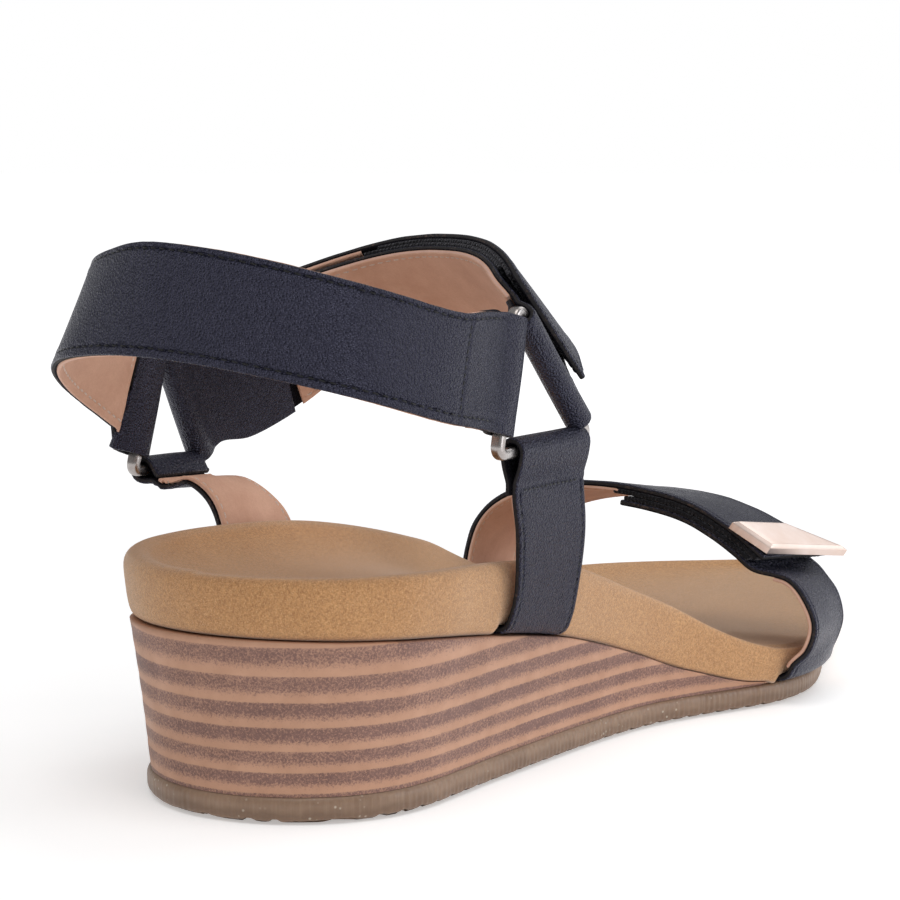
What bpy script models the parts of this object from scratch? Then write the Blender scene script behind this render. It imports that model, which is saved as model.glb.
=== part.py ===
"""Wedge sandal for a right foot: moulded footbed on a wedge, hook-and-loop toe
strap with a metal plate, and an ankle cuff that hangs on two triangular rings.

Lengths below are in millimetres, in a frame whose X runs from the back of the
heel to the toe, Y to the wearer's left (the big-toe side of a right foot) and
Z up from the ground.  ORIGIN_X, ORIGIN_Y put the finished object's origin at
the middle of its box, on the ground.  Meshes are written in metres.
"""
import bpy
import bmesh
import math
import numpy as np
from mathutils import Vector

MM = 0.001

# ------------------------------------------------------------------ dimensions
SOLE_LENGTH = 248.0          # outsole, heel to toe
HEEL_RADIUS = 30.0           # outsole plan radius at the heel
OUTSOLE_THICK = 4.8
TOE_SPRING = 2.0             # rise of the outsole's underside at the toe tip
TOE_SPRING_START = 190.0
WEDGE_FRONT = 140.0          # the wedge feathers out here
GAP = 0.3                    # clearance between touching pieces
COVER_THICK = 1.2            # footbed cover (suede)
BOARD_THICK = 1.6            # lasting board
LEATHER = 1.2
LINING = 0.8
TAPE = 0.8                   # hook tape, loop tape
RING_WIRE = 1.25             # wire radius of the triangular rings
PLATE_THICK = 2.6
SEAM = 0.75                  # half the pitch of two leather layers sewn together

ORIGIN_X = 116.33             # where the object's origin lies in this frame
ORIGIN_Y = 1.32

# strap footprints along the sole edge (x from, x to)
LAT_SIDE = (51.5, 74.2)
MED_SIDE = (46.5, 69.0)
LAT_TOE = (150.0, 175.0)
MED_TOE = (146.0, 172.5)

# triangular rings, corner points of the wire's centre line
LR_A, LR_B, LR_C = (47.6, -37.0, 93.2), (41.0, -37.3, 65.5), (73.2, -37.0, 66.0)
MR_A, MR_B, MR_C = (38.5, 43.3, 85.8), (30.0, 43.2, 58.2), (57.5, 48.2, 56.8)

# ------------------------------------------------------------------ scene set-up
for o in list(bpy.data.objects):
    bpy.data.objects.remove(o, do_unlink=True)

COL = bpy.data.collections.new("wedge_sandal")
bpy.context.scene.collection.children.link(COL)


def srgb(c):
    c /= 255.0
    return c / 12.92 if c <= 0.04045 else ((c + 0.055) / 1.055) ** 2.4


def material(name, rgb, rough, metal=0.0):
    m = bpy.data.materials.new(name)
    m.use_nodes = True
    b = m.node_tree.nodes["Principled BSDF"]
    b.inputs["Base Color"].default_value = (srgb(rgb[0]), srgb(rgb[1]), srgb(rgb[2]), 1)
    b.inputs["Roughness"].default_value = rough
    b.inputs["Metallic"].default_value = metal
    return m


MAT = {
    "outsole": ("crepe_rubber", (140, 120, 95), 0.6, 0),
    "wedge": ("stacked_wedge", (170, 128, 108), 0.6, 0),
    "board": ("fibre_board", (150, 125, 95), 0.9, 0),
    "core": ("footbed_foam", (196, 160, 118), 0.9, 0),
    "suede": ("footbed_suede", (206, 160, 112), 0.95, 0),
    "leather": ("black_leather", (38, 38, 46), 0.5, 0),
    "lining": ("tan_lining", (200, 160, 138), 0.75, 0),
    "tape": ("black_tape", (20, 20, 24), 0.95, 0),
    "steel": ("nickel_plate", (205, 205, 208), 0.2, 1),
    "gold": ("champagne_plate", (240, 222, 205), 0.28, 1),
}


# ------------------------------------------------------------------ curve helpers
def catmull(points, n, closed=False):
    """n points along a centripetal-like smooth curve through the given points,
    evenly spaced by length."""
    p = np.array(points, float)
    if closed:
        p = np.vstack([p[-1], p, p[0], p[1]])
    else:
        p = np.vstack([2 * p[0] - p[1], p, 2 * p[-1] - p[-2]])
    out = []
    for i in range(1, len(p) - 2):
        p0, p1, p2, p3 = p[i - 1], p[i], p[i + 1], p[i + 2]
        for t in np.linspace(0, 1, 16, endpoint=False):
            a = max(np.linalg.norm(p1 - p0), 1e-6) ** 0.5
            b = max(np.linalg.norm(p2 - p1), 1e-6) ** 0.5
            c = max(np.linalg.norm(p3 - p2), 1e-6) ** 0.5
            m1 = (p1 - p0) / a - (p2 - p0) / (a + b) + (p2 - p1) / b
            m2 = (p2 - p1) / b - (p3 - p1) / (b + c) + (p3 - p2) / c
            m1, m2 = m1 * b, m2 * b
            out.append((2 * t ** 3 - 3 * t ** 2 + 1) * p1 + (t ** 3 - 2 * t ** 2 + t) * m1
                       + (-2 * t ** 3 + 3 * t ** 2) * p2 + (t ** 3 - t ** 2) * m2)
    out.append(p[-2])
    return resample(np.array(out), n)


def resample(q, n):
    d = np.r_[0, np.cumsum(np.linalg.norm(np.diff(q, axis=0), axis=1))]
    s = np.linspace(0, d[-1], n)
    return np.stack([np.interp(s, d, q[:, k]) for k in range(q.shape[1])], axis=1)


def profile(table):
    """Smooth height profile z(x) through a table of (x, z)."""
    t = np.array(table, float)
    c = catmull(t, 400)

    def f(x):
        return float(np.interp(x, c[:, 0], c[:, 1]))
    return f


# ------------------------------------------------------------------ sole outline
LATERAL = [(0, 0), (2.5, -12), (10, -22.5), (20, -28.4), (30, -30), (41, -29.6), (56, -28.6),
           (71, -28), (87, -27.4), (102, -27.4), (117, -29), (128, -32), (139, -35.8),
           (150, -39.2), (160, -39.7), (170, -38.0), (180, -34.3), (190, -29.8), (205, -22.7),
           (220, -15.2), (234, -8), (244, 1.2), (248, 9)]
MEDIAL = [(0, 0), (2.5, 12), (10, 22.5), (20, 28.4), (30, 30), (45, 29.5), (60, 28), (80, 26.5),
          (100, 27.5), (120, 31.5), (140, 37), (155, 40.5), (170, 42.6), (185, 43.1), (200, 41.4),
          (215, 37.8), (230, 31), (240, 23.5), (246, 16), (248, 9)]


def half_curve(table):
    # the two halves meet with a vertical tangent at the heel and at the toe
    first = (table[1][0], -table[1][1])
    last = (table[-2][0], 2 * table[-1][1] - table[-2][1])
    p = np.array([first] + list(table) + [last], float)
    c = catmull(p, 1600)
    i0 = int(np.argmin(np.linalg.norm(c - p[1], axis=1)))
    i1 = int(np.argmin(np.linalg.norm(c - p[-2], axis=1)))
    return c[i0:i1 + 1]


LAT_C, MED_C = half_curve(LATERAL), half_curve(MEDIAL)


def offset_half(c, side, d):
    """Half outline moved outward by d (a number or a function of x)."""
    g = np.gradient(c, axis=0)
    n = np.c_[g[:, 1], -g[:, 0]] * side
    n /= np.linalg.norm(n, axis=1)[:, None]
    dist = np.array([d(x) if callable(d) else d for x in c[:, 0]])
    q = c + n * dist[:, None]
    q[0] = c[0] + np.array([-dist[0], 0])
    q[-1] = c[-1] + np.array([dist[-1], 0])
    keep = [0]
    for i in range(1, len(q)):
        if q[i, 0] > q[keep[-1], 0] + 1e-4:
            keep.append(i)
    return q[keep]


def edge_y(x, side, d=0.0):
    c = offset_half(LAT_C if side < 0 else MED_C, 1 if side < 0 else -1, d)
    return float(np.interp(x, c[:, 0], c[:, 1]))


def edge_point(x, side, d):
    """Point at distance d outward of the outline, level with station x."""
    c = LAT_C if side < 0 else MED_C
    s = 1 if side < 0 else -1
    i = int(np.argmin(np.abs(c[:, 0] - x)))
    i = min(max(i, 2), len(c) - 3)
    g = c[i + 2] - c[i - 2]
    n = np.array([g[1], -g[0]]) * s
    n /= np.linalg.norm(n)
    p = c[i] + n * d
    return p[0], p[1]


# heights along the shoe
def outsole_bottom(x):
    t = max(0.0, (x - TOE_SPRING_START) / (SOLE_LENGTH - TOE_SPRING_START))
    return TOE_SPRING * min(t, 1.1) ** 2


def outsole_top(x):
    return OUTSOLE_THICK + outsole_bottom(x)


_wedge = profile([(-6, 34.5), (8, 33.7), (20, 32.9), (31, 31.9), (53, 29.0), (76, 25.2), (91, 21.5),
                  (107, 16.7), (120, 12.0), (127, 9.9), (134, 7.8), (140, 6.3), (147, 5.4)])


def seat(x):
    """Underside level of the footbed: wedge top, then the outsole's top."""
    return max(_wedge(x), outsole_top(x)) if x < 147 else outsole_top(x)


rim_lat = profile([(-6, 45.8), (6, 45.5), (19, 45.3), (29, 44.9), (43, 44.2), (58, 42.9), (72, 40.8),
                   (85, 37.7), (104, 31.0), (118, 25.6), (130, 19.6), (140, 15.3), (150, 12.6),
                   (165, 11.6), (185, 11.8), (210, 12.8), (235, 14.2), (254, 15.2)])
rim_med = profile([(-6, 45.8), (6, 46.3), (20, 46.7), (38, 46.8), (55, 46.2), (66, 45.2), (75, 43.8),
                   (87, 41.4), (104, 37.4), (115, 34.6), (127, 30.7), (140, 26.6), (150, 23.6),
                   (165, 20.6), (185, 18.6), (205, 17.3), (222, 16.2), (237, 15.4), (254, 15.2)])
valley = profile([(-6, 45.6), (2, 43.9), (8, 42.0), (17, 40.4), (30, 39.6), (50, 38.2), (70, 35.4), (87, 30.8), (107, 24.6),
                  (126, 17.8), (145, 13.6), (165, 11.6), (190, 10.9), (220, 11.6), (240, 12.9), (254, 14.0)])

# stations along the length, with pairs at the strap notches
base_t = 0.5 - 0.5 * np.cos(np.linspace(0, math.pi, 25))
NOTCH_EDGES = [e for a, b in (LAT_SIDE, MED_SIDE, LAT_TOE, MED_TOE)
               for e in (a - 1.9, a - 0.8, b + 0.8, b + 1.9)]
STATIONS = sorted([0.0, SOLE_LENGTH] + NOTCH_EDGES
                  + [s for s in base_t[1:-1] * SOLE_LENGTH if min(abs(s - e) for e in NOTCH_EDGES) > 1.8])


def notch(x, side):
    """1 where a strap passes under the footbed's edge, else 0."""
    for s, (a, b) in ((-1, LAT_SIDE), (1, MED_SIDE), (-1, LAT_TOE), (1, MED_TOE)):
        if s == side and a - 1.2 < x < b + 1.2:
            return 1.0
    return 0.0


END_ZONE = 36.0     # stations shift with the offset only within this of the ends


def ring(d, z, x_end=None, lift=0.0):
    """Loop of points at distance d outward of the outline, at height z(x, side).
    Gives the lateral row and the medial row, heel to toe."""
    rows = []
    top = SOLE_LENGTH if x_end is None else x_end
    stations = [s for s in STATIONS if s < top - 0.5] + [top]
    for side, c in ((-1, LAT_C), (1, MED_C)):
        q = offset_half(c, 1 if side < 0 else -1, d)
        row = []
        for s in stations:
            x = s
            if s < END_ZONE:
                x = q[0, 0] + s * (END_ZONE - q[0, 0]) / END_ZONE
            elif x_end is None and s > SOLE_LENGTH - END_ZONE:
                x = q[-1, 0] - (SOLE_LENGTH - s) * (q[-1, 0] - SOLE_LENGTH + END_ZONE) / END_ZONE
            row.append((x, float(np.interp(x, q[:, 0], q[:, 1])), z(x, side) + lift * notch(s, side)))
        rows.append(row)
    if x_end is None:
        for k in (0, -1):
            m = tuple((np.array(rows[0][k]) + np.array(rows[1][k])) / 2)
            rows[0][k] = rows[1][k] = m
    else:
        m = tuple((np.array(rows[0][0]) + np.array(rows[1][0])) / 2)
        rows[0][0] = rows[1][0] = m
    return rows


# ------------------------------------------------------------------ mesh helpers
def to_world(p):
    return ((p[0] - ORIGIN_X) * MM, (p[1] - ORIGIN_Y) * MM, p[2] * MM)


def finish_mesh(name, bm, mat, smooth_deg=35, pivot=None):
    bmesh.ops.remove_doubles(bm, verts=bm.verts, dist=1e-6)
    bmesh.ops.recalc_face_normals(bm, faces=bm.faces)
    me = bpy.data.meshes.new(name)
    bm.to_mesh(me)
    bm.free()
    me.shade_smooth()
    me.set_sharp_from_angle(angle=math.radians(smooth_deg))
    ob = bpy.data.objects.new(name, me)
    COL.objects.link(ob)
    key = MAT[mat]
    m = bpy.data.materials.get(key[0]) or material(*key)
    me.materials.append(m)
    if pivot is not None:
        w = Vector(to_world(pivot))
        for v in me.vertices:
            v.co -= w
        ob.location = w
    return ob


class Loft:
    """Closed body made of station loops, joined in order, and two caps."""

    def __init__(self):
        self.bm = bmesh.new()
        self.cache = {}

    def v(self, p):
        k = tuple(round(c, 5) for c in p)
        if k not in self.cache:
            self.cache[k] = self.bm.verts.new(to_world(p))
        return self.cache[k]

    def face(self, pts):
        vs = []
        for p in pts:
            w = self.v(p)
            if w not in vs:
                vs.append(w)
        if len(vs) >= 3:
            try:
                self.bm.faces.new(vs)
            except ValueError:
                pass

    def wall(self, ra, rb, front=False):
        for side in (0, 1):
            a, b = ra[side], rb[side]
            for i in range(len(a) - 1):
                self.face([a[i], a[i + 1], b[i + 1], b[i]])
        if front:
            self.face([ra[0][-1], ra[1][-1], rb[1][-1], rb[0][-1]])

    def cap(self, r, m=1, zf=None):
        """Surface across the loop r; zf(x, f, z_lat, z_med) gives the height at
        fraction f of the way across."""
        lat, med = r
        grid = []
        for i in range(len(lat)):
            a, b = np.array(lat[i]), np.array(med[i])
            row = []
            for j in range(m + 1):
                f = j / m
                p = a + (b - a) * f
                if zf is not None and 0 < j < m:
                    p[2] = zf(p[0], f, a[2], b[2], abs(b[1] - a[1]))
                row.append(tuple(p))
            row[0], row[-1] = tuple(lat[i]), tuple(med[i])
            if np.linalg.norm(b - a) < 1e-6:
                row = [tuple(a)] * (m + 1)
            grid.append(row)
        for i in range(len(grid) - 1):
            for j in range(m):
                self.face([grid[i][j], grid[i][j + 1], grid[i + 1][j + 1], grid[i + 1][j]])


# ------------------------------------------------------------------ sole pieces
def build_outsole():
    L = Loft()
    r = [ring(-1.2, lambda x, s: outsole_bottom(x)),
         ring(-0.1, lambda x, s: outsole_bottom(x) + 0.9),
         ring(0.0, lambda x, s: outsole_bottom(x) + 2.6),
         ring(-0.4, lambda x, s: outsole_top(x))]
    L.cap(r[0])
    for a, b in zip(r, r[1:]):
        L.wall(a, b)
    L.cap(r[-1])
    finish_mesh("outsole", L.bm, "outsole")


def build_wedge():
    L = Loft()

    def top_d(x):
        return 2.9 - 2.1 * max(0.0, min(1.0, (x - 20) / 120.0))
    r = [ring(-0.9, lambda x, s: outsole_top(x) + GAP, WEDGE_FRONT),
         ring(lambda x: top_d(x) * 0.5 - 0.45, lambda x, s: (outsole_top(x) + GAP + _wedge(x)) / 2, WEDGE_FRONT),
         ring(top_d, lambda x, s: _wedge(x), WEDGE_FRONT)]
    L.cap(r[0])
    for a, b in zip(r, r[1:]):
        L.wall(a, b, front=True)
    L.cap(r[-1])
    finish_mesh("wedge", L.bm, "wedge")


TUCK = LEATHER + 2 * GAP + 0.5  # room for a strap end under the footbed


def bed_top(off):
    """Height of the footbed's upper surface, lowered by off."""
    def zf(x, f, za, zb, w):
        # raised at both edges, flat in the middle; the arch side climbs earlier
        u = 2 * f - 1
        edge = za + (zb - za) * f
        v = valley(x) - off
        k = abs(u)
        lift = 0.62 * k ** 3.2 + 0.38 * k ** 6 if u < 0 else 0.70 * k ** 2.3 + 0.30 * k ** 6
        return v + (max(edge, v) - v) * lift
    return zf


def build_cover():
    L = Loft()
    t = COVER_THICK

    def side(x, base, flare):
        k = 1.0 - 0.6 * max(0.0, min(1.0, (x - 70) / 80.0)) + 0.16 * max(0.0, min(1.0, (60 - x) / 40.0))
        return (base + flare) * k if base + flare > 0 else base + flare
    rim = lambda x, s: (rim_lat(x) if s < 0 else rim_med(x))
    low = lambda x, s: seat(x) + GAP
    outer = [
        ring(-5.0, lambda x, s: low(x, s), lift=TUCK - GAP),
        ring(lambda x: side(x, 0.6, 0.9), lambda x, s: low(x, s), lift=TUCK - GAP),
        ring(lambda x: side(x, 1.2, 1.1), lambda x, s: low(x, s) + 0.9, lift=TUCK - GAP),
        ring(lambda x: side(x, 1.5, 1.7), lambda x, s: 0.45 * low(x, s) + 0.55 * rim(x, s)),
        ring(lambda x: side(x, 1.4, 1.9), lambda x, s: rim(x, s) - 1.6),
        ring(lambda x: side(x, 0.7, 1.8), lambda x, s: rim(x, s) - 0.25),
        ring(lambda x: side(x, -0.8, 1.6), lambda x, s: rim(x, s)),
        ring(lambda x: side(x, -2.6, 1.5), lambda x, s: rim(x, s) - 0.7),
    ]
    inner = [
        ring(-5.0, lambda x, s: low(x, s) + t, lift=TUCK - GAP),
        ring(lambda x: side(x, 0.0, 0.9), lambda x, s: low(x, s) + t, lift=TUCK - GAP),
        ring(lambda x: side(x, 0.3, 1.6), lambda x, s: 0.45 * low(x, s) + 0.55 * rim(x, s)),
        ring(lambda x: side(x, 0.2, 1.7), lambda x, s: rim(x, s) - 2.2),
        ring(lambda x: side(x, -0.9, 1.5), lambda x, s: rim(x, s) - 1.35),
        ring(lambda x: side(x, -2.8, 1.5), lambda x, s: rim(x, s) - 1.95),
    ]
    for a, b in zip(outer, outer[1:]):
        L.wall(a, b)
    L.cap(outer[-1], 6, bed_top(0.0))
    L.wall(outer[0], inner[0])
    for a, b in zip(inner, inner[1:]):
        L.wall(a, b)
    L.cap(inner[-1], 6, bed_top(t))
    finish_mesh("footbed_cover", L.bm, "suede", 50)


def build_core():
    L = Loft()
    t = COVER_THICK + GAP

    def side(x, base, flare):
        k = 1.0 - 0.6 * max(0.0, min(1.0, (x - 70) / 80.0)) + 0.16 * max(0.0, min(1.0, (60 - x) / 40.0))
        return (base + flare) * k if base + flare > 0 else base + flare
    rim = lambda x, s: (rim_lat(x) if s < 0 else rim_med(x))
    low = lambda x, s: seat(x) + GAP
    deep = BOARD_THICK + GAP

    def drop(x, s):
        # the deeper the cup, the further the core stays below the rim
        ends = 2.2 * max(0.0, 1 - max(x, 0) / 18.0) + 0.6 * max(0.0, (x - 228) / 18.0)
        return 2.3 + ends + 0.36 * max(0.0, rim(x, s) - valley(x))

    def mid(x, s):
        return max(0.45 * low(x, s) + 0.55 * rim(x, s), low(x, s) + t + 0.35)

    def up(x, s, k):
        return max(rim(x, s) - drop(x, s) + k, low(x, s) + t + 0.6)
    r = [
        ring(-8.4, lambda x, s: low(x, s) + deep + 0.2),
        ring(-7.6, lambda x, s: low(x, s) + t + 0.5, lift=TUCK - GAP),
        ring(-1.3, lambda x, s: low(x, s) + t + 0.15, lift=TUCK - GAP),
        ring(lambda x: side(x, -0.1, 1.5) - 0.7, lambda x, s: max(mid(x, s), low(x, s) + t + 0.4 + TUCK * notch(x, s))),
        ring(lambda x: side(x, -0.3, 1.6) - 1.0, lambda x, s: max(up(x, s, -0.1), low(x, s) + t + 0.5 + TUCK * notch(x, s))),
        ring(-2.2, lambda x, s: max(up(x, s, 0.1), low(x, s) + t + 0.6 + TUCK * notch(x, s))),
        ring(-4.6, lambda x, s: max(up(x, s, -0.3), low(x, s) + t + 0.6 + TUCK * notch(x, s))),
    ]
    L.cap(r[0])
    for a, b in zip(r, r[1:]):
        L.wall(a, b)
    L.cap(r[-1], 6, bed_top(COVER_THICK + GAP + 0.4))
    finish_mesh("footbed_core", L.bm, "core", 50)


def build_board():
    L = Loft()
    r = [ring(-9.0, lambda x, s: seat(x) + GAP),
         ring(-9.0, lambda x, s: seat(x) + GAP + BOARD_THICK)]
    L.cap(r[0])
    L.wall(r[0], r[1])
    L.cap(r[1])
    finish_mesh("insole_board", L.bm, "board")


# ------------------------------------------------------------------ strap helpers
def unit(v):
    v = np.array(v, float)
    return v / np.linalg.norm(v)


def lerp(a, b, t):
    return np.array(a, float) * (1 - t) + np.array(b, float) * t


def grid_from(columns, n):
    """Columns of control points to a grid of n rows."""
    return np.stack([catmull(c, n) for c in columns], axis=1)


def grid_normals(g, toward):
    ds = np.gradient(g, axis=0)
    dt = np.gradient(g, axis=1)
    n = np.cross(ds, dt)
    n /= np.linalg.norm(n, axis=2)[:, :, None]
    mid = g.shape[0] // 2, g.shape[1] // 2
    if np.dot(n[mid], np.array(toward, float) - g[mid]) < 0:
        n = -n
    return n


def shifted(g, dist, toward):
    """Grid moved by dist towards the inside."""
    return g + grid_normals(g, toward) * dist


def cut(g, a, b, n):
    """Rows between lengths a and b (mm, from the start; a negative b counts
    from the end), as n rows."""
    mid = g[:, g.shape[1] // 2]
    d = np.r_[0, np.cumsum(np.linalg.norm(np.diff(mid, axis=0), axis=1))]
    lo, hi = a, (b if b > 0 else d[-1] + b)
    s = np.linspace(lo, hi, n)
    return np.stack([np.stack([np.interp(s, d, g[:, j, k]) for k in range(3)], axis=1)
                     for j in range(g.shape[1])], axis=1)


def loop_columns(cols, centres, bar, inward, radius, lead, tail):
    """Carries each column on, round a bar and back along itself.  centres are
    the points on the bar, one per column; radius is that of the leather's
    middle surface round the bar; lead is the length over which the two layers
    open; tail is how far the second layer runs back."""
    out = []
    bar = unit(bar)
    for col, c in zip(cols, centres):
        c = np.array(c, float)
        t = c - np.array(col[-1], float)
        t = unit(t - bar * np.dot(t, bar))
        n = unit(np.cross(bar, t))
        if np.dot(n, np.array(inward, float)) < 0:
            n = -n
        e = c - t * lead - n * SEAM
        body = catmull(list(col) + [tuple(e - t * 2.2), tuple(e)], 160)
        pts = [c - t * (lead * 0.45) - n * (SEAM + (radius - SEAM) * 0.72)]
        for a in np.linspace(0, math.pi, 11):
            pts.append(c + t * radius * math.sin(a) - n * radius * math.cos(a))
        pts.append(c - t * (lead * 0.45) + n * (SEAM + (radius - SEAM) * 0.72))
        g = np.gradient(body, axis=0)
        nn = np.cross(bar, g)
        nn /= np.linalg.norm(nn, axis=1)[:, None]
        if np.dot(nn[-1], n) < 0:
            nn = -nn
        d = np.r_[0, np.cumsum(np.linalg.norm(np.diff(body, axis=0), axis=1))]
        back = []
        for s in np.linspace(0, tail, max(3, int(tail / 3) + 2)):
            q = d[-1] - s
            back.append([np.interp(q, d, (body + nn * 2 * SEAM)[:, k]) for k in range(3)])
        out.append((body, np.array(pts), np.array(back)))
    return out


def looped_grid(cols, centres, bar, inward, radius, lead, tail, n_body, n_tail=5):
    parts = loop_columns(cols, centres, bar, inward, radius, lead, tail)
    body = np.stack([resample(p[0], n_body) for p in parts], axis=1)
    loop = np.stack([p[1] for p in parts], axis=1)
    back = np.stack([resample(p[2], n_tail) for p in parts], axis=1)
    return body, loop, back


def ribbon(name, g, thick, mat, pivot=None):
    """Sheet of the given thickness, centred on the grid."""
    bm = bmesh.new()
    vs = [[bm.verts.new(to_world(p)) for p in row] for row in g]
    for i in range(len(vs) - 1):
        for j in range(len(vs[0]) - 1):
            bm.faces.new([vs[i][j], vs[i][j + 1], vs[i + 1][j + 1], vs[i + 1][j]])
    me = bpy.data.meshes.new(name)
    bm.to_mesh(me)
    bm.free()
    me.shade_smooth()
    ob = bpy.data.objects.new(name, me)
    COL.objects.link(ob)
    key = MAT[mat]
    me.materials.append(bpy.data.materials.get(key[0]) or material(*key))
    if pivot is not None:
        w = Vector(to_world(pivot))
        for v in me.vertices:
            v.co -= w
        ob.location = w
    s = ob.modifiers.new("thickness", "SOLIDIFY")
    s.thickness = thick * MM
    s.offset = 0.0
    s.use_even_offset = False
    return ob


def wire_ring(name, corners, pivot):
    """Triangular ring of round wire with rounded corners."""
    r = 1.4
    pts = []
    c = [np.array(p, float) for p in corners]
    for i in range(3):
        p, a, b = c[i], c[i - 1], c[(i + 1) % 3]
        ua, ub = unit(a - p), unit(b - p)
        ang = math.acos(np.dot(ua, ub))
        d = r / math.tan(ang / 2)
        cen = p + unit(ua + ub) * (r / math.sin(ang / 2))
        s, e = p + ua * d - cen, p + ub * d - cen
        sweep = math.pi - ang
        for k in range(5):
            f = k / 4
            w = math.sin((1 - f) * sweep) / math.sin(sweep) * s + math.sin(f * sweep) / math.sin(sweep) * e
            pts.append(cen + w)
    cu = bpy.data.curves.new(name, "CURVE")
    cu.dimensions = "3D"
    sp = cu.splines.new("POLY")
    sp.points.add(len(pts) - 1)
    w = Vector(to_world(pivot))
    for q, p in zip(sp.points, pts):
        q.co = (*(Vector(to_world(p)) - w), 1)
    sp.use_cyclic_u = True
    cu.bevel_depth = RING_WIRE * MM
    cu.bevel_resolution = 3
    ob = bpy.data.objects.new(name, cu)
    ob.location = w
    COL.objects.link(ob)
    key = MAT["steel"]
    cu.materials.append(bpy.data.materials.get(key[0]) or material(*key))
    return ob


def bar_points(a, b, f0, f1, n):
    return [tuple(lerp(a, b, f0 + (f1 - f0) * k / (n - 1))) for k in range(n)]


LINING_IN = LEATHER / 2 + GAP + LINING / 2      # leather middle to lining middle

# ------------------------------------------------------------------ side straps


def side_strap(prefix, side, xr, bar_a, bar_b, f0, f1, mids, lead, radius, tail):
    """Strap from under the footbed's edge up to the ring's lower bar."""
    n = 4
    cols = []
    for k in range(n):
        x = xr[0] + (xr[1] - xr[0]) * k / (n - 1)
        zs = seat(x)
        col = []
        for d, z in ((-4.4, zs + GAP + LEATHER / 2), (0.2, zs + GAP + LEATHER / 2),
                     (3.1, zs + 1.6), (4.6, zs + 4.4), (5.6, zs + 8.5)):
            px, py = edge_point(x, side, d)
            col.append((px, py, z))
        for rear, front in mids:
            col.append(tuple(lerp(rear, front, k / (n - 1))))
        cols.append(col)
    centres = bar_points(bar_a, bar_b, f0, f1, n)
    inward = (0, -side, 0)
    body, loop, back = looped_grid(cols, centres, np.array(bar_b) - np.array(bar_a), inward,
                                   radius, lead, tail, 24, 3)
    g = np.concatenate([body, loop, back], axis=0)
    ribbon(prefix + "_strap", g, LEATHER, "leather")
    inner = shifted(body, LINING_IN, (x, 0, 50))
    # the lining starts above the seam and stops short of the folded-back end
    ribbon(prefix + "_strap_lining", cut(inner, 9.2, -(tail + (3.6 if side < 0 else 9.0)), 12), LINING, "lining")
    return body


# ------------------------------------------------------------------ assembly
build_outsole()
build_wedge()
build_board()
build_core()
build_cover()

side_strap("lateral", -1, LAT_SIDE, LR_B, LR_C, 0.165, 0.85,
           [((50.7, -35.6, 44.5), (73.8, -35.6, 44.5)), ((49.1, -36.6, 50.0), (72.6, -36.6, 50.0))], 6.2, 2.2, 2.6)
side_strap("medial", 1, MED_SIDE, MR_B, MR_C, 0.17, 0.83,
           [((47.0, 35.0, 45.0), (69.2, 35.6, 44.6)), ((46.4, 37.4, 51.0), (67.6, 38.4, 48.6)),
            ((43.0, 39.6, 54.6), (63.6, 41.6, 52.2))], 4.4, 2.2, 2.0)

wire_ring("lateral_ring", (LR_A, LR_B, LR_C), LR_B)
wire_ring("medial_ring", (MR_A, MR_B, MR_C), MR_B)

# heel strap: lower edge and upper edge, lateral to medial
HEEL = [((19, -41.5, 73.6), (24, -41, 93.0)), ((2, -34.5, 78.8), (6, -35.5, 98)),
        ((-8, -20, 82.8), (-6, -24, 102.4)), ((-13.5, -8, 85), (-11.5, -12, 104.9)),
        ((-16, 4, 85.8), (-13, 1, 105.8)), ((-14.5, 18, 84.7), (-9.5, 12.5, 103.8)),
        ((-5, 31, 81.4), (-2.5, 22.3, 101.2)), ((7, 39.5, 76.5), (8.5, 30.5, 97.2)), ((18.5, 42.8, 70.8), (21, 37.8, 91.5)),
        ((26.0, 43.6, 66.8), (28.5, 41.0, 87.0))]
NH = 4
lat_c = bar_points(LR_B, LR_A, 0.16, 0.81, NH)
med_c = bar_points(MR_B, MR_A, 0.16, 0.80, NH)
heel_cols = [[tuple(lerp(a, b, k / (NH - 1))) for a, b in HEEL] for k in range(NH)]
half = 4
fwd = looped_grid([c[half:] for c in heel_cols], med_c, np.array(MR_A) - np.array(MR_B), (-0.2, -1, 0),
                  2.15, 5.0, 3.0, 30, 3)
rev = looped_grid([c[:half + 1][::-1] for c in heel_cols], lat_c, np.array(LR_A) - np.array(LR_B), (-0.2, 1, 0),
                  2.15, 5.0, 3.0, 30, 3)
# one smooth path for the body, then the two folded ends
full_cols = []
for k in range(NH):
    full_cols.append(np.concatenate([rev[0][::-1, k][::6], np.array(heel_cols[k])[1:-1], fwd[0][:, k][::6][-2:]]))
body_h = np.stack([catmull(np.concatenate([[rev[0][-1, k]], [rev[0][-4, k]], np.array(heel_cols[k]),
                                           [fwd[0][-4, k]], [fwd[0][-1, k]]]), 36) for k in range(NH)], axis=1)
heel = np.concatenate([rev[2][::-1], rev[1][::-1], body_h, fwd[1], fwd[2]], axis=0)
ribbon("heel_strap", heel, LEATHER, "leather")
ribbon("heel_strap_lining", cut(shifted(body_h, LINING_IN, (20, 0, 90)), 4.0, -4.0, 30), LINING, "lining")

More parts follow.
